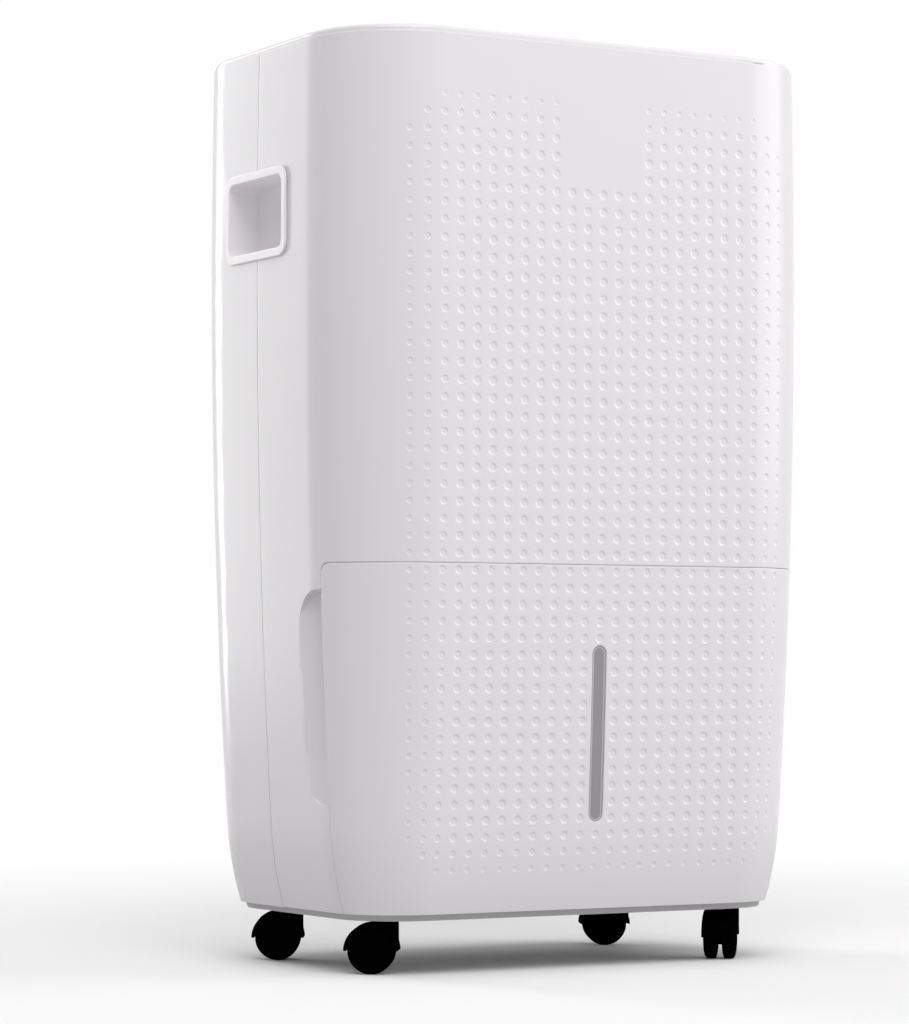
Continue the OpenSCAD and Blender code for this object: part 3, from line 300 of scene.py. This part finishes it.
def thicken(bm, wall):
    """Rolls the open rims over and closes the sheet with a plain inner skin."""
    bm.normal_update()
    away = outward_of_rim(bm)
    normal = {v: v.normal.copy() for v in bm.verts}
    roll, depth = EDGE_ROLL * MM, wall * MM
    copied = bmesh.ops.duplicate(bm, geom=everything(bm))
    inner_faces = [g for g in copied["geom"] if isinstance(g, bmesh.types.BMFace)]
    cell = bm.faces.layers.int["cell"]
    for face in inner_faces:
        face[cell] = 0
    pairs = copied["vert_map"]
    for vert in normal:
        target = vert.co - normal[vert] * depth
        if vert in away:
            target += away[vert] * roll
        pairs[vert].co = target
    inner_rim = [pairs[v] for v in away]
    bmesh.ops.reverse_faces(bm, faces=inner_faces)
    source = {v: (v.co.copy(), away[v], normal[v]) for v in away}
    loop = [e for e in open_edges(bm) if e.verts[0] in away and e.verts[1] in away]
    for turn in (*ROLL_TURNS, None):
        made = bmesh.ops.extrude_edge_only(bm, edges=loop)["geom"]
        fresh = [g for g in made if isinstance(g, bmesh.types.BMVert)]
        loop = [g for g in made if isinstance(g, bmesh.types.BMEdge)]
        moved = {}
        for vert in fresh:
            others = (edge.other_vert(vert) for edge in vert.link_edges)
            origin = source[next(o for o in others if o in source and o.co == vert.co)]
            at, way, n = origin
            if turn is None:
                spot = at + way * roll - n * depth
            else:
                a = math.radians(turn)
                spot = at + way * roll * math.sin(a) - n * roll * (1 - math.cos(a))
            moved[vert] = (spot, origin)
        for vert, (spot, origin) in moved.items():
            vert.co = spot
            source[vert] = origin
    last = [v for e in loop for v in e.verts]
    bmesh.ops.remove_doubles(bm, verts=once(last + inner_rim), dist=1e-6)
    bmesh.ops.recalc_face_normals(bm, faces=bm.faces)


def dimple_cell():
    """One cell of the field: eight corners on its border and a flat-bottomed dish."""
    bm = bmesh.new()
    bmesh.ops.create_grid(bm, x_segments=2, y_segments=2, size=0.5)
    for vert in bm.verts:
        vert.co = Vector((vert.co.x * PITCH_S, vert.co.y * PITCH_Z, 0))
    border = [e for e in bm.edges if e.is_boundary]
    inner = [v for v in bm.verts if not v.is_boundary]
    bmesh.ops.delete(bm, geom=list(bm.faces), context="FACES_ONLY")
    bmesh.ops.delete(bm, geom=inner, context="VERTS")
    ring = bmesh.ops.create_circle(bm, cap_ends=False, segments=16, radius=DIMPLE_R)["verts"]
    edges = once(e for v in ring for e in v.link_edges)
    bmesh.ops.bridge_loops(bm, edges=[e for e in border if e.is_valid] + edges)
    floor = bmesh.ops.contextual_create(bm, geom=edges)["faces"]
    for width, drop in DISH_STEPS:
        bmesh.ops.inset_region(bm, faces=floor, thickness=width, depth=0)
        for vert in floor[0].verts:
            vert.co.z -= drop
    mesh = bpy.data.meshes.new("dimple_cell")
    bm.normal_update()
    if floor[0].normal.z < 0:
        bmesh.ops.reverse_faces(bm, faces=bm.faces)
    bm.to_mesh(mesh)
    bm.free()
    return mesh


def set_dimples(bm):
    """Takes the marked faces out of the outer skin and sets a dished cell in each place."""
    layer = bm.faces.layers.int["cell"]
    marked = [f for f in bm.faces if f[layer]]
    numbers = sorted({f[layer] - 1 for f in marked})
    bmesh.ops.delete(bm, geom=marked, context="FACES")
    template = dimple_cell()
    field = bmesh.new()
    done = 0
    for number in numbers:
        i, j = number % COLUMNS, number // COLUMNS
        size = dimple_size(i, j)
        column, level = FIRST_COLUMN + 2 * i, ROW_TOPS[j]
        middle_s, middle_z = COLUMN_LINES[column + 1], LEVEL_LINES[level + 1]
        field.from_mesh(template)
        field.verts.ensure_lookup_table()
        for vert in field.verts[done:]:
            x, y, z = vert.co
            a, b = round(2 * x / PITCH_S), round(-2 * y / PITCH_Z)
            on_border = abs(abs(x) - PITCH_S / 2) < 1e-4 or abs(abs(y) - PITCH_Z / 2) < 1e-4
            if on_border:
                vert.co = on_wall(COLUMN_LINES[column + 1 + a], LEVEL_LINES[level + 1 + b])
            else:
                vert.co = on_wall(middle_s + x * size, middle_z + y * size, -z * size)
        done = len(field.verts)
    mesh = bpy.data.meshes.new("dimple_field")
    field.to_mesh(mesh)
    field.free()
    bm.from_mesh(mesh)
    bpy.data.meshes.remove(mesh)
    bpy.data.meshes.remove(template)
    bmesh.ops.remove_doubles(bm, verts=[v for v in bm.verts if v.is_boundary], dist=WELD)


def roll_edges(bm, edges, sharp, roll, segments):
    """Rounds those of the edges that are bent by more than some degrees."""
    bend = math.radians(sharp)
    bent = [e for e in edges if len(e.link_faces) == 2 and e.calc_face_angle(0) > bend]
    bmesh.ops.bevel(bm, geom=bent, offset=roll * MM, segments=segments, profile=0.5,
                    affect="EDGES", offset_type="OFFSET", clamp_overlap=True, material=-1)


def finish_mesh(bm, name, sharp=None):
    """Turns a bmesh into a piece of the scene with soft shading."""
    mesh = bpy.data.meshes.new(name)
    bm.normal_update()
    for face in bm.faces:
        face.smooth = True
    bm.to_mesh(mesh)
    bm.free()
    piece = bpy.data.objects.new(name, mesh)
    bpy.context.scene.collection.objects.link(piece)
    if sharp:
        mesh.set_sharp_from_angle(angle=math.radians(sharp))
    even = piece.modifiers.new("even_normals", "WEIGHTED_NORMAL")
    even.weight = 50
    even.keep_sharp = True
    return piece


# ------------------------------------------------------------------ front shell and tank panel

SCOOP_L, SCOOP_LO, SCOOP_HI, SCOOP_DEPTH = 29.0, 111.0, 252.0, 10.0
SCOOP_ARC = (SCOOP_L ** 2 + SCOOP_DEPTH ** 2) / (2 * SCOOP_DEPTH)
SCOOP_CENTRE_X = HALF_W - 4 + SCOOP_ARC - SCOOP_DEPTH
SCOOP_END = SCOOP_L - 5
SCOOP_ROLL, SCOOP_CREASE = 1.3, 20  # rounding of the outline, for edges bent by more degrees
SCOOP_WELD = 0.08                   # corners of the scoops closer than this are one
SIDE_X = 150.0                      # the side walls lie further out than this
GRIP_Y, GRIP_Z, GRIP_HALF_L, GRIP_HALF_H = 8.0, 503.0, 40.3, 26.3


def press_scoops(bm):
    """Presses the two finger scoops beside the tank into the side walls."""
    back = TANK_PLANE + SCOOP_L
    planes = [((0, back, 0), (0, 1, 0)), ((0, 0, SCOOP_HI), (0, 0, 1)),
              ((0, 0, SCOOP_LO), (0, 0, -1))]
    low = (0, back - SCOOP_END, SCOOP_LO + SCOOP_END)
    high = (0, back - SCOOP_END, SCOOP_HI - SCOOP_END)
    planes += arc_planes(high, SCOOP_END, 0, math.pi / 2, 12, (1, 2))
    planes += arc_planes(low, SCOOP_END, -math.pi / 2, 0, 12, (1, 2))
    faces = carve(bm, planes, lambda p: (p.y < back + 6 and SCOOP_LO - 8 < p.z < SCOOP_HI + 8
                                         and abs(p.x) > SIDE_X))
    faces = [f for f in faces if abs(f.calc_center_median().x) > SIDE_X * MM]
    made = bmesh.ops.extrude_face_region(bm, geom=faces)["geom"]
    bmesh.ops.delete(bm, geom=faces, context="FACES_ONLY")
    floor = [g for g in made if isinstance(g, bmesh.types.BMVert)]
    for vert in floor:
        side = 1 if vert.co.x > 0 else -1
        reach = math.sqrt(max(0.0, SCOOP_ARC ** 2 - (vert.co.y / MM - TANK_PLANE) ** 2))
        depth_x = (SCOOP_CENTRE_X - reach) * MM
        vert.co.x = side * min(abs(vert.co.x) - 0.05 * MM, depth_x)
    rim = TANK_PLANE + EDGE_ROLL
    ends = [f for f in bm.faces if all(abs(v.co.y / MM - rim) < 0.02 for v in f.verts)]
    bmesh.ops.delete(bm, geom=ends, context="FACES")
    loose = [e for e in bm.edges if not e.link_faces]
    bmesh.ops.delete(bm, geom=loose, context="EDGES")
    close = once(v for g in floor if g.is_valid for e in g.link_edges for v in e.verts)
    bmesh.ops.remove_doubles(bm, verts=close, dist=SCOOP_WELD * MM)
    bm.normal_update()
    spots = {v: v.co / MM for v in bm.verts}
    creases = [e for e in bm.edges if abs(spots[e.verts[0]].x) > SIDE_X
               and SCOOP_LO - 1 < spots[e.verts[0]].z < SCOOP_HI + 1
               and spots[e.verts[0]].y < back + 1]
    roll_edges(bm, creases, SCOOP_CREASE, SCOOP_ROLL, 3)
    bmesh.ops.remove_doubles(bm, verts=bm.verts, dist=WELD)


def front_shell():
    """The front shell with its opening for the tank, scoops, half handle openings and dimples."""
    bm = wall_sheet()
    inside = cut_tank_outline(bm, EDGE_ROLL)
    bmesh.ops.delete(bm, geom=inside, context="FACES")
    press_scoops(bm)
    low, high = GRIP_Z - GRIP_HALF_H - EDGE_ROLL, GRIP_Z + GRIP_HALF_H + EDGE_ROLL
    front = GRIP_Y - GRIP_HALF_L - EDGE_ROLL
    planes = [((0, front, 0), (0, -1, 0)), ((0, 0, high), (0, 0, 1)), ((0, 0, low), (0, 0, -1))]
    hole = carve(bm, planes, lambda p: (p.y > front - 8 and low - 12 < p.z < high + 12
                                        and abs(p.x) > SIDE_X))
    bmesh.ops.delete(bm, geom=hole, context="FACES")
    thicken(bm, SHELL_WALL)
    set_dimples(bm)
    piece = finish_mesh(bm, "front_housing")
    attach(piece, "cabinet")
    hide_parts("front_shell")
    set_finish(piece, "white_plastic")
    return piece


def tank_panel():
    """The tank's front panel with its window opening and dimples."""
    bm = wall_sheet()
    inside = set(cut_tank_outline(bm, -TANK_GAP - EDGE_ROLL))
    bmesh.ops.delete(bm, geom=[f for f in bm.faces if f not in inside], context="FACES")
    half = WINDOW_W / 2 + EDGE_ROLL
    low, high = WINDOW_LO + WINDOW_W / 2, WINDOW_HI - WINDOW_W / 2
    sides = [((half, 0, 0), (1, 0, 0)), ((-half, 0, 0), (-1, 0, 0))]
    top = arc_planes((0, 0, high), half, 0, math.pi, 14, (0, 2))
    base = arc_planes((0, 0, low), half, -math.pi, 0, 14, (0, 2))
    first, last = WINDOW_LO - STRIP_BELOW, WINDOW_HI + STRIP_ABOVE
    carve(bm, sides, lambda p: abs(p.x) < PITCH_S / 2 + 0.01 and first < p.z < last)
    carve(bm, top, lambda p: abs(p.x) < half and high - 6 < p.z < last)
    carve(bm, base, lambda p: abs(p.x) < half and first < p.z < low + 6)
    slot = carve(bm, sides + top + base, lambda p: False)
    bmesh.ops.delete(bm, geom=slot, context="FACES")
    thicken(bm, TANK_WALL)
    for vert in bm.verts:           # keeps the whole side rim clear of the front shell
        vert.co.y = min(vert.co.y, (TANK_PLANE - TANK_GAP) * MM)
    set_dimples(bm)
    piece = finish_mesh(bm, "tank_panel")
    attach(piece, "tank")
    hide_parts("tank_front")
    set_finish(piece, "white_plastic")
    return piece


# ------------------------------------------------------------------ dressed copies of moulded parts

FLAT = 0.4                          # neighbouring faces within these degrees become one
WALL_GRID = 12.0                    # spacing of the cuts across the rear shell
HANDLE_ROLL, WINDOW_ROLL, YOKE_ROLL = 1.1, 0.2, 0.6   # rounding of the edges


def dressed(node, body, slot, roll=0.0, sharp=35, grid=0):
    """A copy of a CAD node, merged and softly shaded, its sharp edges rolled by a small radius.

    A grid of cuts across x and z keeps the shading of large walls even.
    """
    bm = bmesh.new()
    bm.from_mesh(NODES[node].data)
    bmesh.ops.remove_doubles(bm, verts=bm.verts, dist=WELD)
    bmesh.ops.dissolve_limit(bm, angle_limit=math.radians(FLAT), verts=bm.verts, edges=bm.edges)
    if roll:
        bm.normal_update()
        roll_edges(bm, bm.edges, sharp, roll, 2)
    if grid:
        for axis in (0, 2):
            outward = Vector([1.0 if k == axis else 0.0 for k in range(3)])
            low, high = min(v.co[axis] for v in bm.verts), max(v.co[axis] for v in bm.verts)
            for k in range(math.ceil(low / (grid * MM)), math.floor(high / (grid * MM)) + 1):
                bmesh.ops.bisect_plane(bm, geom=everything(bm), dist=1e-6,
                                       plane_co=outward * k * grid * MM, plane_no=outward)
    piece = finish_mesh(bm, node + "_moulded", sharp=sharp)
    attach(piece, body)
    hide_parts(node)
    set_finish(piece, slot)
    return piece


# ------------------------------------------------------------------ materials

# metres
BUMP_DEPTH = 0.0004
LINE_INNER, LINE_OUTER = (0.0037, 0.0041), (0.0046, 0.0050)   # edges of the painted highlight line along the window's rim


def group_socket(group, name, kind, way="INPUT", value=None):
    """Adds an input or output to a node group."""
    socket = group.interface.new_socket(name=name, in_out=way, socket_type=kind)
    if value is not None:
        socket.default_value = value


def link(tree, a, b):
    tree.links.new(a, b)


def moulding_group():
    """A moulding's skin: faint drift of tone and gloss, and shallow waves with a fine grain."""
    group = bpy.data.node_groups.new("moulded_skin", "ShaderNodeTree")
    group_socket(group, "Colour", "NodeSocketColor", value=(0.8, 0.8, 0.8, 1))
    group_socket(group, "Drift", "NodeSocketFloat", value=0.03)
    group_socket(group, "Gloss", "NodeSocketFloat", value=0.3)
    group_socket(group, "Gloss drift", "NodeSocketFloat", value=0.06)
    group_socket(group, "Grain size", "NodeSocketFloat", value=900)
    group_socket(group, "Wave", "NodeSocketFloat", value=0.3)
    group_socket(group, "Colour", "NodeSocketColor", "OUTPUT")
    group_socket(group, "Roughness", "NodeSocketFloat", "OUTPUT")
    group_socket(group, "Height", "NodeSocketFloat", "OUTPUT")
    nodes = group.nodes
    start, end = nodes.new("NodeGroupInput"), nodes.new("NodeGroupOutput")
    place = nodes.new("ShaderNodeTexCoord")
    broad = nodes.new("ShaderNodeTexNoise")
    broad.inputs["Scale"].default_value = 6
    broad.inputs["Detail"].default_value = 3
    grain = nodes.new("ShaderNodeTexNoise")
    grain.inputs["Detail"].default_value = 2
    for noise in (broad, grain):
        link(group, place.outputs["Object"], noise.inputs["Vector"])
    link(group, start.outputs["Grain size"], grain.inputs["Scale"])
    centred = nodes.new("ShaderNodeMath")
    centred.operation = "SUBTRACT"
    centred.inputs[1].default_value = 0.5
    link(group, broad.outputs["Fac"], centred.inputs[0])
    tone = nodes.new("ShaderNodeMath")
    tone.operation = "MULTIPLY_ADD"
    tone.inputs[2].default_value = 1.0
    link(group, centred.outputs[0], tone.inputs[0])
    link(group, start.outputs["Drift"], tone.inputs[1])
    colour = nodes.new("ShaderNodeVectorMath")
    colour.operation = "SCALE"
    link(group, start.outputs["Colour"], colour.inputs[0])
    link(group, tone.outputs[0], colour.inputs["Scale"])
    gloss = nodes.new("ShaderNodeMath")
    gloss.operation = "MULTIPLY_ADD"
    link(group, centred.outputs[0], gloss.inputs[0])
    link(group, start.outputs["Gloss drift"], gloss.inputs[1])
    link(group, start.outputs["Gloss"], gloss.inputs[2])
    wave = nodes.new("ShaderNodeMath")
    wave.operation = "MULTIPLY_ADD"
    link(group, broad.outputs["Fac"], wave.inputs[0])
    link(group, start.outputs["Wave"], wave.inputs[1])
    link(group, grain.outputs["Fac"], wave.inputs[2])
    link(group, colour.outputs["Vector"], end.inputs["Colour"])
    link(group, gloss.outputs[0], end.inputs["Roughness"])
    link(group, wave.outputs[0], end.inputs["Height"])
    return group


SKIN = moulding_group()


def finish_of(name, colour, gloss, drift=0.03, gloss_drift=0.06, bump=0.02, metal=0.0, coat=0.0,
              coat_rough=0.1, specular=0.5):
    """A material on the shared moulded skin with its own values."""
    material = bpy.data.materials.new(name)
    material.use_nodes = True
    tree = material.node_tree
    shader = tree.nodes["Principled BSDF"]
    skin = tree.nodes.new("ShaderNodeGroup")
    skin.node_tree = SKIN
    skin.inputs["Colour"].default_value = (*colour, 1)
    skin.inputs["Drift"].default_value = drift
    skin.inputs["Gloss"].default_value = gloss
    skin.inputs["Gloss drift"].default_value = gloss_drift
    bumps = tree.nodes.new("ShaderNodeBump")
    bumps.inputs["Strength"].default_value = bump
    bumps.inputs["Distance"].default_value = BUMP_DEPTH
    link(tree, skin.outputs["Colour"], shader.inputs["Base Color"])
    link(tree, skin.outputs["Roughness"], shader.inputs["Roughness"])
    link(tree, skin.outputs["Height"], bumps.inputs["Height"])
    link(tree, bumps.outputs["Normal"], shader.inputs["Normal"])
    shader.inputs["Metallic"].default_value = metal
    shader.inputs["Specular IOR Level"].default_value = specular
    shader.inputs["Coat Weight"].default_value = coat
    shader.inputs["Coat Roughness"].default_value = coat_rough
    return material


def pane_rim_highlight_group():
    """A painted highlight: a light line along the water window's outline, a little inside it."""
    group = bpy.data.node_groups.new("pane_rim_highlight", "ShaderNodeTree")
    group_socket(group, "Colour", "NodeSocketColor", value=(0.4, 0.4, 0.4, 1))
    group_socket(group, "Line", "NodeSocketColor", value=(0.7, 0.7, 0.7, 1))
    group_socket(group, "Colour", "NodeSocketColor", "OUTPUT")
    nodes = group.nodes
    start, end = nodes.new("NodeGroupInput"), nodes.new("NodeGroupOutput")
    place, parts = nodes.new("ShaderNodeTexCoord"), nodes.new("ShaderNodeSeparateXYZ")
    link(group, place.outputs["Object"], parts.inputs[0])
    value = parts.outputs["Z"]
    straight = (WINDOW_HI - WINDOW_LO - WINDOW_W) / 2 * MM
    for operation, number in (("SUBTRACT", (WINDOW_HI + WINDOW_LO) / 2 * MM), ("ABSOLUTE", 0),
                              ("SUBTRACT", straight), ("MAXIMUM", 0)):
        step = nodes.new("ShaderNodeMath")
        step.operation = operation
        step.inputs[1].default_value = number
        link(group, value, step.inputs[0])
        value = step.outputs[0]
    flat, reach = nodes.new("ShaderNodeCombineXYZ"), nodes.new("ShaderNodeVectorMath")
    reach.operation = "LENGTH"
    link(group, parts.outputs["X"], flat.inputs["X"])
    link(group, value, flat.inputs["Z"])
    link(group, flat.outputs[0], reach.inputs[0])
    band = nodes.new("ShaderNodeMath")
    band.operation = "MULTIPLY"
    for k, (near, far, first, last) in enumerate(((*LINE_INNER, 0, 1), (*LINE_OUTER, 1, 0))):
        edge = nodes.new("ShaderNodeMapRange")
        edge.inputs["From Min"].default_value = near
        edge.inputs["From Max"].default_value = far
        edge.inputs["To Min"].default_value = first
        edge.inputs["To Max"].default_value = last
        link(group, reach.outputs["Value"], edge.inputs["Value"])
        link(group, edge.outputs[0], band.inputs[k])
    mix = nodes.new("ShaderNodeMix")
    mix.data_type = "RGBA"
    link(group, band.outputs[0], mix.inputs["Factor"])
    link(group, start.outputs["Colour"], mix.inputs["A"])
    link(group, start.outputs["Line"], mix.inputs["B"])
    link(group, mix.outputs["Result"], end.inputs["Colour"])
    return group


def add_pane_rim_highlight(material, colour, line):
    """Puts the window's painted highlight line in place of the plain colour."""
    tree = material.node_tree
    border = tree.nodes.new("ShaderNodeGroup")
    border.node_tree = pane_rim_highlight_group()
    border.inputs["Colour"].default_value = (*colour, 1)
    border.inputs["Line"].default_value = (*line, 1)
    link(tree, border.outputs["Colour"], tree.nodes["Principled BSDF"].inputs["Base Color"])


FINISHES = {
    "white_plastic": finish_of("gloss_white_moulding", (0.86, 0.838, 0.86), 0.24, drift=0.012,
                               gloss_drift=0.04, bump=0.01),
    # a lighter copy of the white moulding for the handles: painted light, standing in for the
    # brighter light inside the handle pockets
    "white_painted_pocket_light": finish_of("gloss_white_painted_pocket_light", (0.97, 0.945, 0.965), 0.3, drift=0.012,
                              bump=0.01),
    "grey_plastic": finish_of("matt_grey_moulding", (0.52, 0.515, 0.52), 0.5, bump=0.08),
    "bucket_plastic": finish_of("milky_bucket", (0.70, 0.72, 0.74), 0.3),
    "window_plastic": finish_of("smoky_window", (0.36, 0.335, 0.355), 0.2, drift=0.1),
    "panel_plastic": finish_of("dark_panel", (0.02, 0.02, 0.022), 0.12),
    "lens_plastic": finish_of("black_lens", (0.006, 0.006, 0.008), 0.05, coat=1.0,
                              coat_rough=0.03),
    "circuit_board": finish_of("green_laminate", (0.03, 0.13, 0.07), 0.4, drift=0.3),
    "black_plastic": finish_of("matt_black_moulding", (0.02, 0.02, 0.021), 0.5, bump=0.1),
    "caster_black": finish_of("black_nylon", (0.0012, 0.0012, 0.0013), 0.45, drift=0.3, bump=0.05,
                              specular=0.0),
    "can_metal": finish_of("drawn_can", (0.6, 0.61, 0.62), 0.3, metal=1.0),
    "coil_alloy": finish_of("bare_fins", (0.62, 0.63, 0.64), 0.38, metal=1.0, drift=0.12),
    "pipe_copper": finish_of("drawn_copper", (0.62, 0.28, 0.14), 0.3, metal=1.0, drift=0.2,
                             gloss_drift=0.2),
    "compressor_paint": finish_of("black_enamel", (0.02, 0.02, 0.021), 0.25, coat=0.5),
    "motor_metal": finish_of("grey_enamel", (0.25, 0.255, 0.26), 0.35, coat=0.3),
    "black_rubber": finish_of("moulded_rubber", (0.015, 0.015, 0.015), 0.7, bump=0.15),
    "steel": finish_of("zinc_plate", (0.5, 0.5, 0.51), 0.32, metal=1.0, drift=0.1,
                       gloss_drift=0.15),
}
# the window's light line is a painted highlight along its rim
add_pane_rim_highlight(FINISHES["window_plastic"], (0.33, 0.308, 0.326), (0.56, 0.54, 0.555))


def dress_all():
    """Gives every CAD node and every added piece its material."""
    slot_of = {row["node"]: row["material_slot"] for row in frame["record"]["subparts"]}
    for name, node in NODES.items():
        node.data.materials.clear()
        node.data.materials.append(FINISHES[slot_of[name]])
    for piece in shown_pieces():
        if "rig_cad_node" not in piece:
            # the handles take the lighter copy of the white moulding, painted light for their
            # brighter pockets
            slot = "white_painted_pocket_light" if piece.name.startswith("handle_") else piece["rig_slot"]
            piece.data.materials.clear()
            piece.data.materials.append(FINISHES[slot])


# ------------------------------------------------------------------ studio

def seen_directly(tree):
    """1 for what the camera sees directly, by reflection or through glass."""
    path = tree.nodes.new("ShaderNodeLightPath")
    either = tree.nodes.new("ShaderNodeMath")
    either.operation = "MAXIMUM"
    both = tree.nodes.new("ShaderNodeMath")
    both.operation = "MAXIMUM"
    link(tree, path.outputs["Is Camera Ray"], either.inputs[0])
    link(tree, path.outputs["Is Transmission Ray"], either.inputs[1])
    link(tree, either.outputs[0], both.inputs[0])
    link(tree, path.outputs["Is Glossy Ray"], both.inputs[1])
    return both.outputs[0]


AMBIENT = 0.36                      # strength of the white surroundings as a light
FLOOR_RADIUS = 9.0
FLOOR_TONE, FLOOR_TONE_SEEN = 0.6, 0.96       # as light sees it, and as the camera does
FLOOR_FADE = (0.45, 1.4)            # the floor passes into white between these radii
LENS, LENS_SHIFT = 125.17, 0.152
CAMERA_PLACE, CAMERA_TURN = (-1.2676, -2.1188, 0.2009), 30.11
LAMP_AIM = (0, 0, 0.32)
LAMPS = (
    # name, angle from the front towards the object's left side, lamp's height above the floor,
    # distance from the upright axis, width, height and power
    ("rear_left_softbox", 159.4, 0.88, 2.53, 0.56, 1.66, 19),
    ("left_softbox", 140, 2.2, 2.4, 1.2, 1.2, 2),
    ("front_softbox", 22, 2.8, 2.0, 2.1, 2.1, 50),
    ("right_softbox", -62, 1.3, 2.6, 2.1, 2.0, 29),
    ("overhead_softbox", 172, 2.6, 0.9, 1.6, 1.6, 6),
)


def pale_floor():
    """A pale floor that keeps the object's shadow and passes into the white background."""
    material = bpy.data.materials.new("pale_floor")
    material.use_nodes = True
    tree = material.node_tree
    shader = tree.nodes["Principled BSDF"]
    shader.inputs["Roughness"].default_value = 0.7
    path = tree.nodes.new("ShaderNodeLightPath")
    tone = tree.nodes.new("ShaderNodeMapRange")
    tone.inputs["To Min"].default_value = FLOOR_TONE
    tone.inputs["To Max"].default_value = FLOOR_TONE_SEEN
    link(tree, path.outputs["Is Camera Ray"], tone.inputs["Value"])
    link(tree, tone.outputs[0], shader.inputs["Base Color"])
    shader.inputs["Specular IOR Level"].default_value = 0.2
    white = tree.nodes.new("ShaderNodeEmission")
    place = tree.nodes.new("ShaderNodeTexCoord")
    reach = tree.nodes.new("ShaderNodeVectorMath")
    reach.operation = "LENGTH"
    fade = tree.nodes.new("ShaderNodeMapRange")
    fade.interpolation_type = "SMOOTHSTEP"
    fade.inputs["From Min"].default_value = FLOOR_FADE[0]
    fade.inputs["From Max"].default_value = FLOOR_FADE[1]
    share = tree.nodes.new("ShaderNodeMath")
    share.operation = "MULTIPLY"
    mix = tree.nodes.new("ShaderNodeMixShader")
    link(tree, place.outputs["Object"], reach.inputs[0])
    link(tree, reach.outputs["Value"], fade.inputs["Value"])
    link(tree, fade.outputs[0], share.inputs[0])
    link(tree, seen_directly(tree), share.inputs[1])
    link(tree, share.outputs[0], mix.inputs["Fac"])
    link(tree, shader.outputs[0], mix.inputs[1])
    link(tree, white.outputs[0], mix.inputs[2])
    link(tree, mix.outputs[0], tree.nodes["Material Output"].inputs["Surface"])
    return material


def studio():
    """White surroundings, floor, lamps and camera."""
    scene = bpy.context.scene
    scene.view_settings.view_transform = "Standard"
    world = bpy.data.worlds.new("studio")
    scene.world = world
    world.use_nodes = True
    tree = world.node_tree
    background = tree.nodes["Background"]
    background.inputs["Color"].default_value = (1, 1, 1, 1)
    level = tree.nodes.new("ShaderNodeMapRange")
    level.inputs["To Min"].default_value = AMBIENT
    link(tree, seen_directly(tree), level.inputs["Value"])
    link(tree, level.outputs[0], background.inputs["Strength"])

    bm = bmesh.new()
    bmesh.ops.create_circle(bm, cap_ends=True, segments=96, radius=FLOOR_RADIUS)
    mesh = bpy.data.meshes.new("floor")
    bm.to_mesh(mesh)
    bm.free()
    floor = bpy.data.objects.new("floor", mesh)
    scene.collection.objects.link(floor)
    mesh.materials.append(pale_floor())

    for name, angle, level, distance, width, height, power in LAMPS:
        light = bpy.data.lights.new(name, "AREA")
        light.shape = "RECTANGLE"
        light.size, light.size_y = width, height
        light.energy = power
        holder = bpy.data.objects.new(name, light)
        scene.collection.objects.link(holder)
        turn = math.radians(angle)
        holder.location = (-math.sin(turn) * distance, -math.cos(turn) * distance, level)
        gaze = Vector(LAMP_AIM) - holder.location
        holder.rotation_euler = gaze.to_track_quat("-Z", "Y").to_euler()

    camera = bpy.data.cameras.new("camera")
    camera.sensor_width = 36
    camera.lens = LENS
    camera.shift_y = LENS_SHIFT
    camera.clip_start, camera.clip_end = 0.1, 60
    holder = bpy.data.objects.new("camera", camera)
    scene.collection.objects.link(holder)
    holder.location = CAMERA_PLACE
    holder.rotation_euler = (math.pi / 2, 0, -math.radians(CAMERA_TURN))
    scene.camera = holder


front_shell()
tank_panel()
dressed("rear_shell", "cabinet", "white_plastic", grid=WALL_GRID)
dressed("top_cover", "cabinet", "white_plastic")
dressed("handle_left", "cabinet", "white_plastic", HANDLE_ROLL)
dressed("handle_right", "cabinet", "white_plastic", HANDLE_ROLL)
dressed("tank_window", "tank", "window_plastic", WINDOW_ROLL)
for corner in ("fl", "fr", "rl", "rr"):
    dressed("yoke_" + corner, "caster_" + corner, "caster_black", YOKE_ROLL)
    dressed("wheel_%s_outer" % corner, "outer_" + corner, "caster_black")
    dressed("wheel_%s_inner" % corner, "inner_" + corner, "caster_black")
dress_all()
studio()
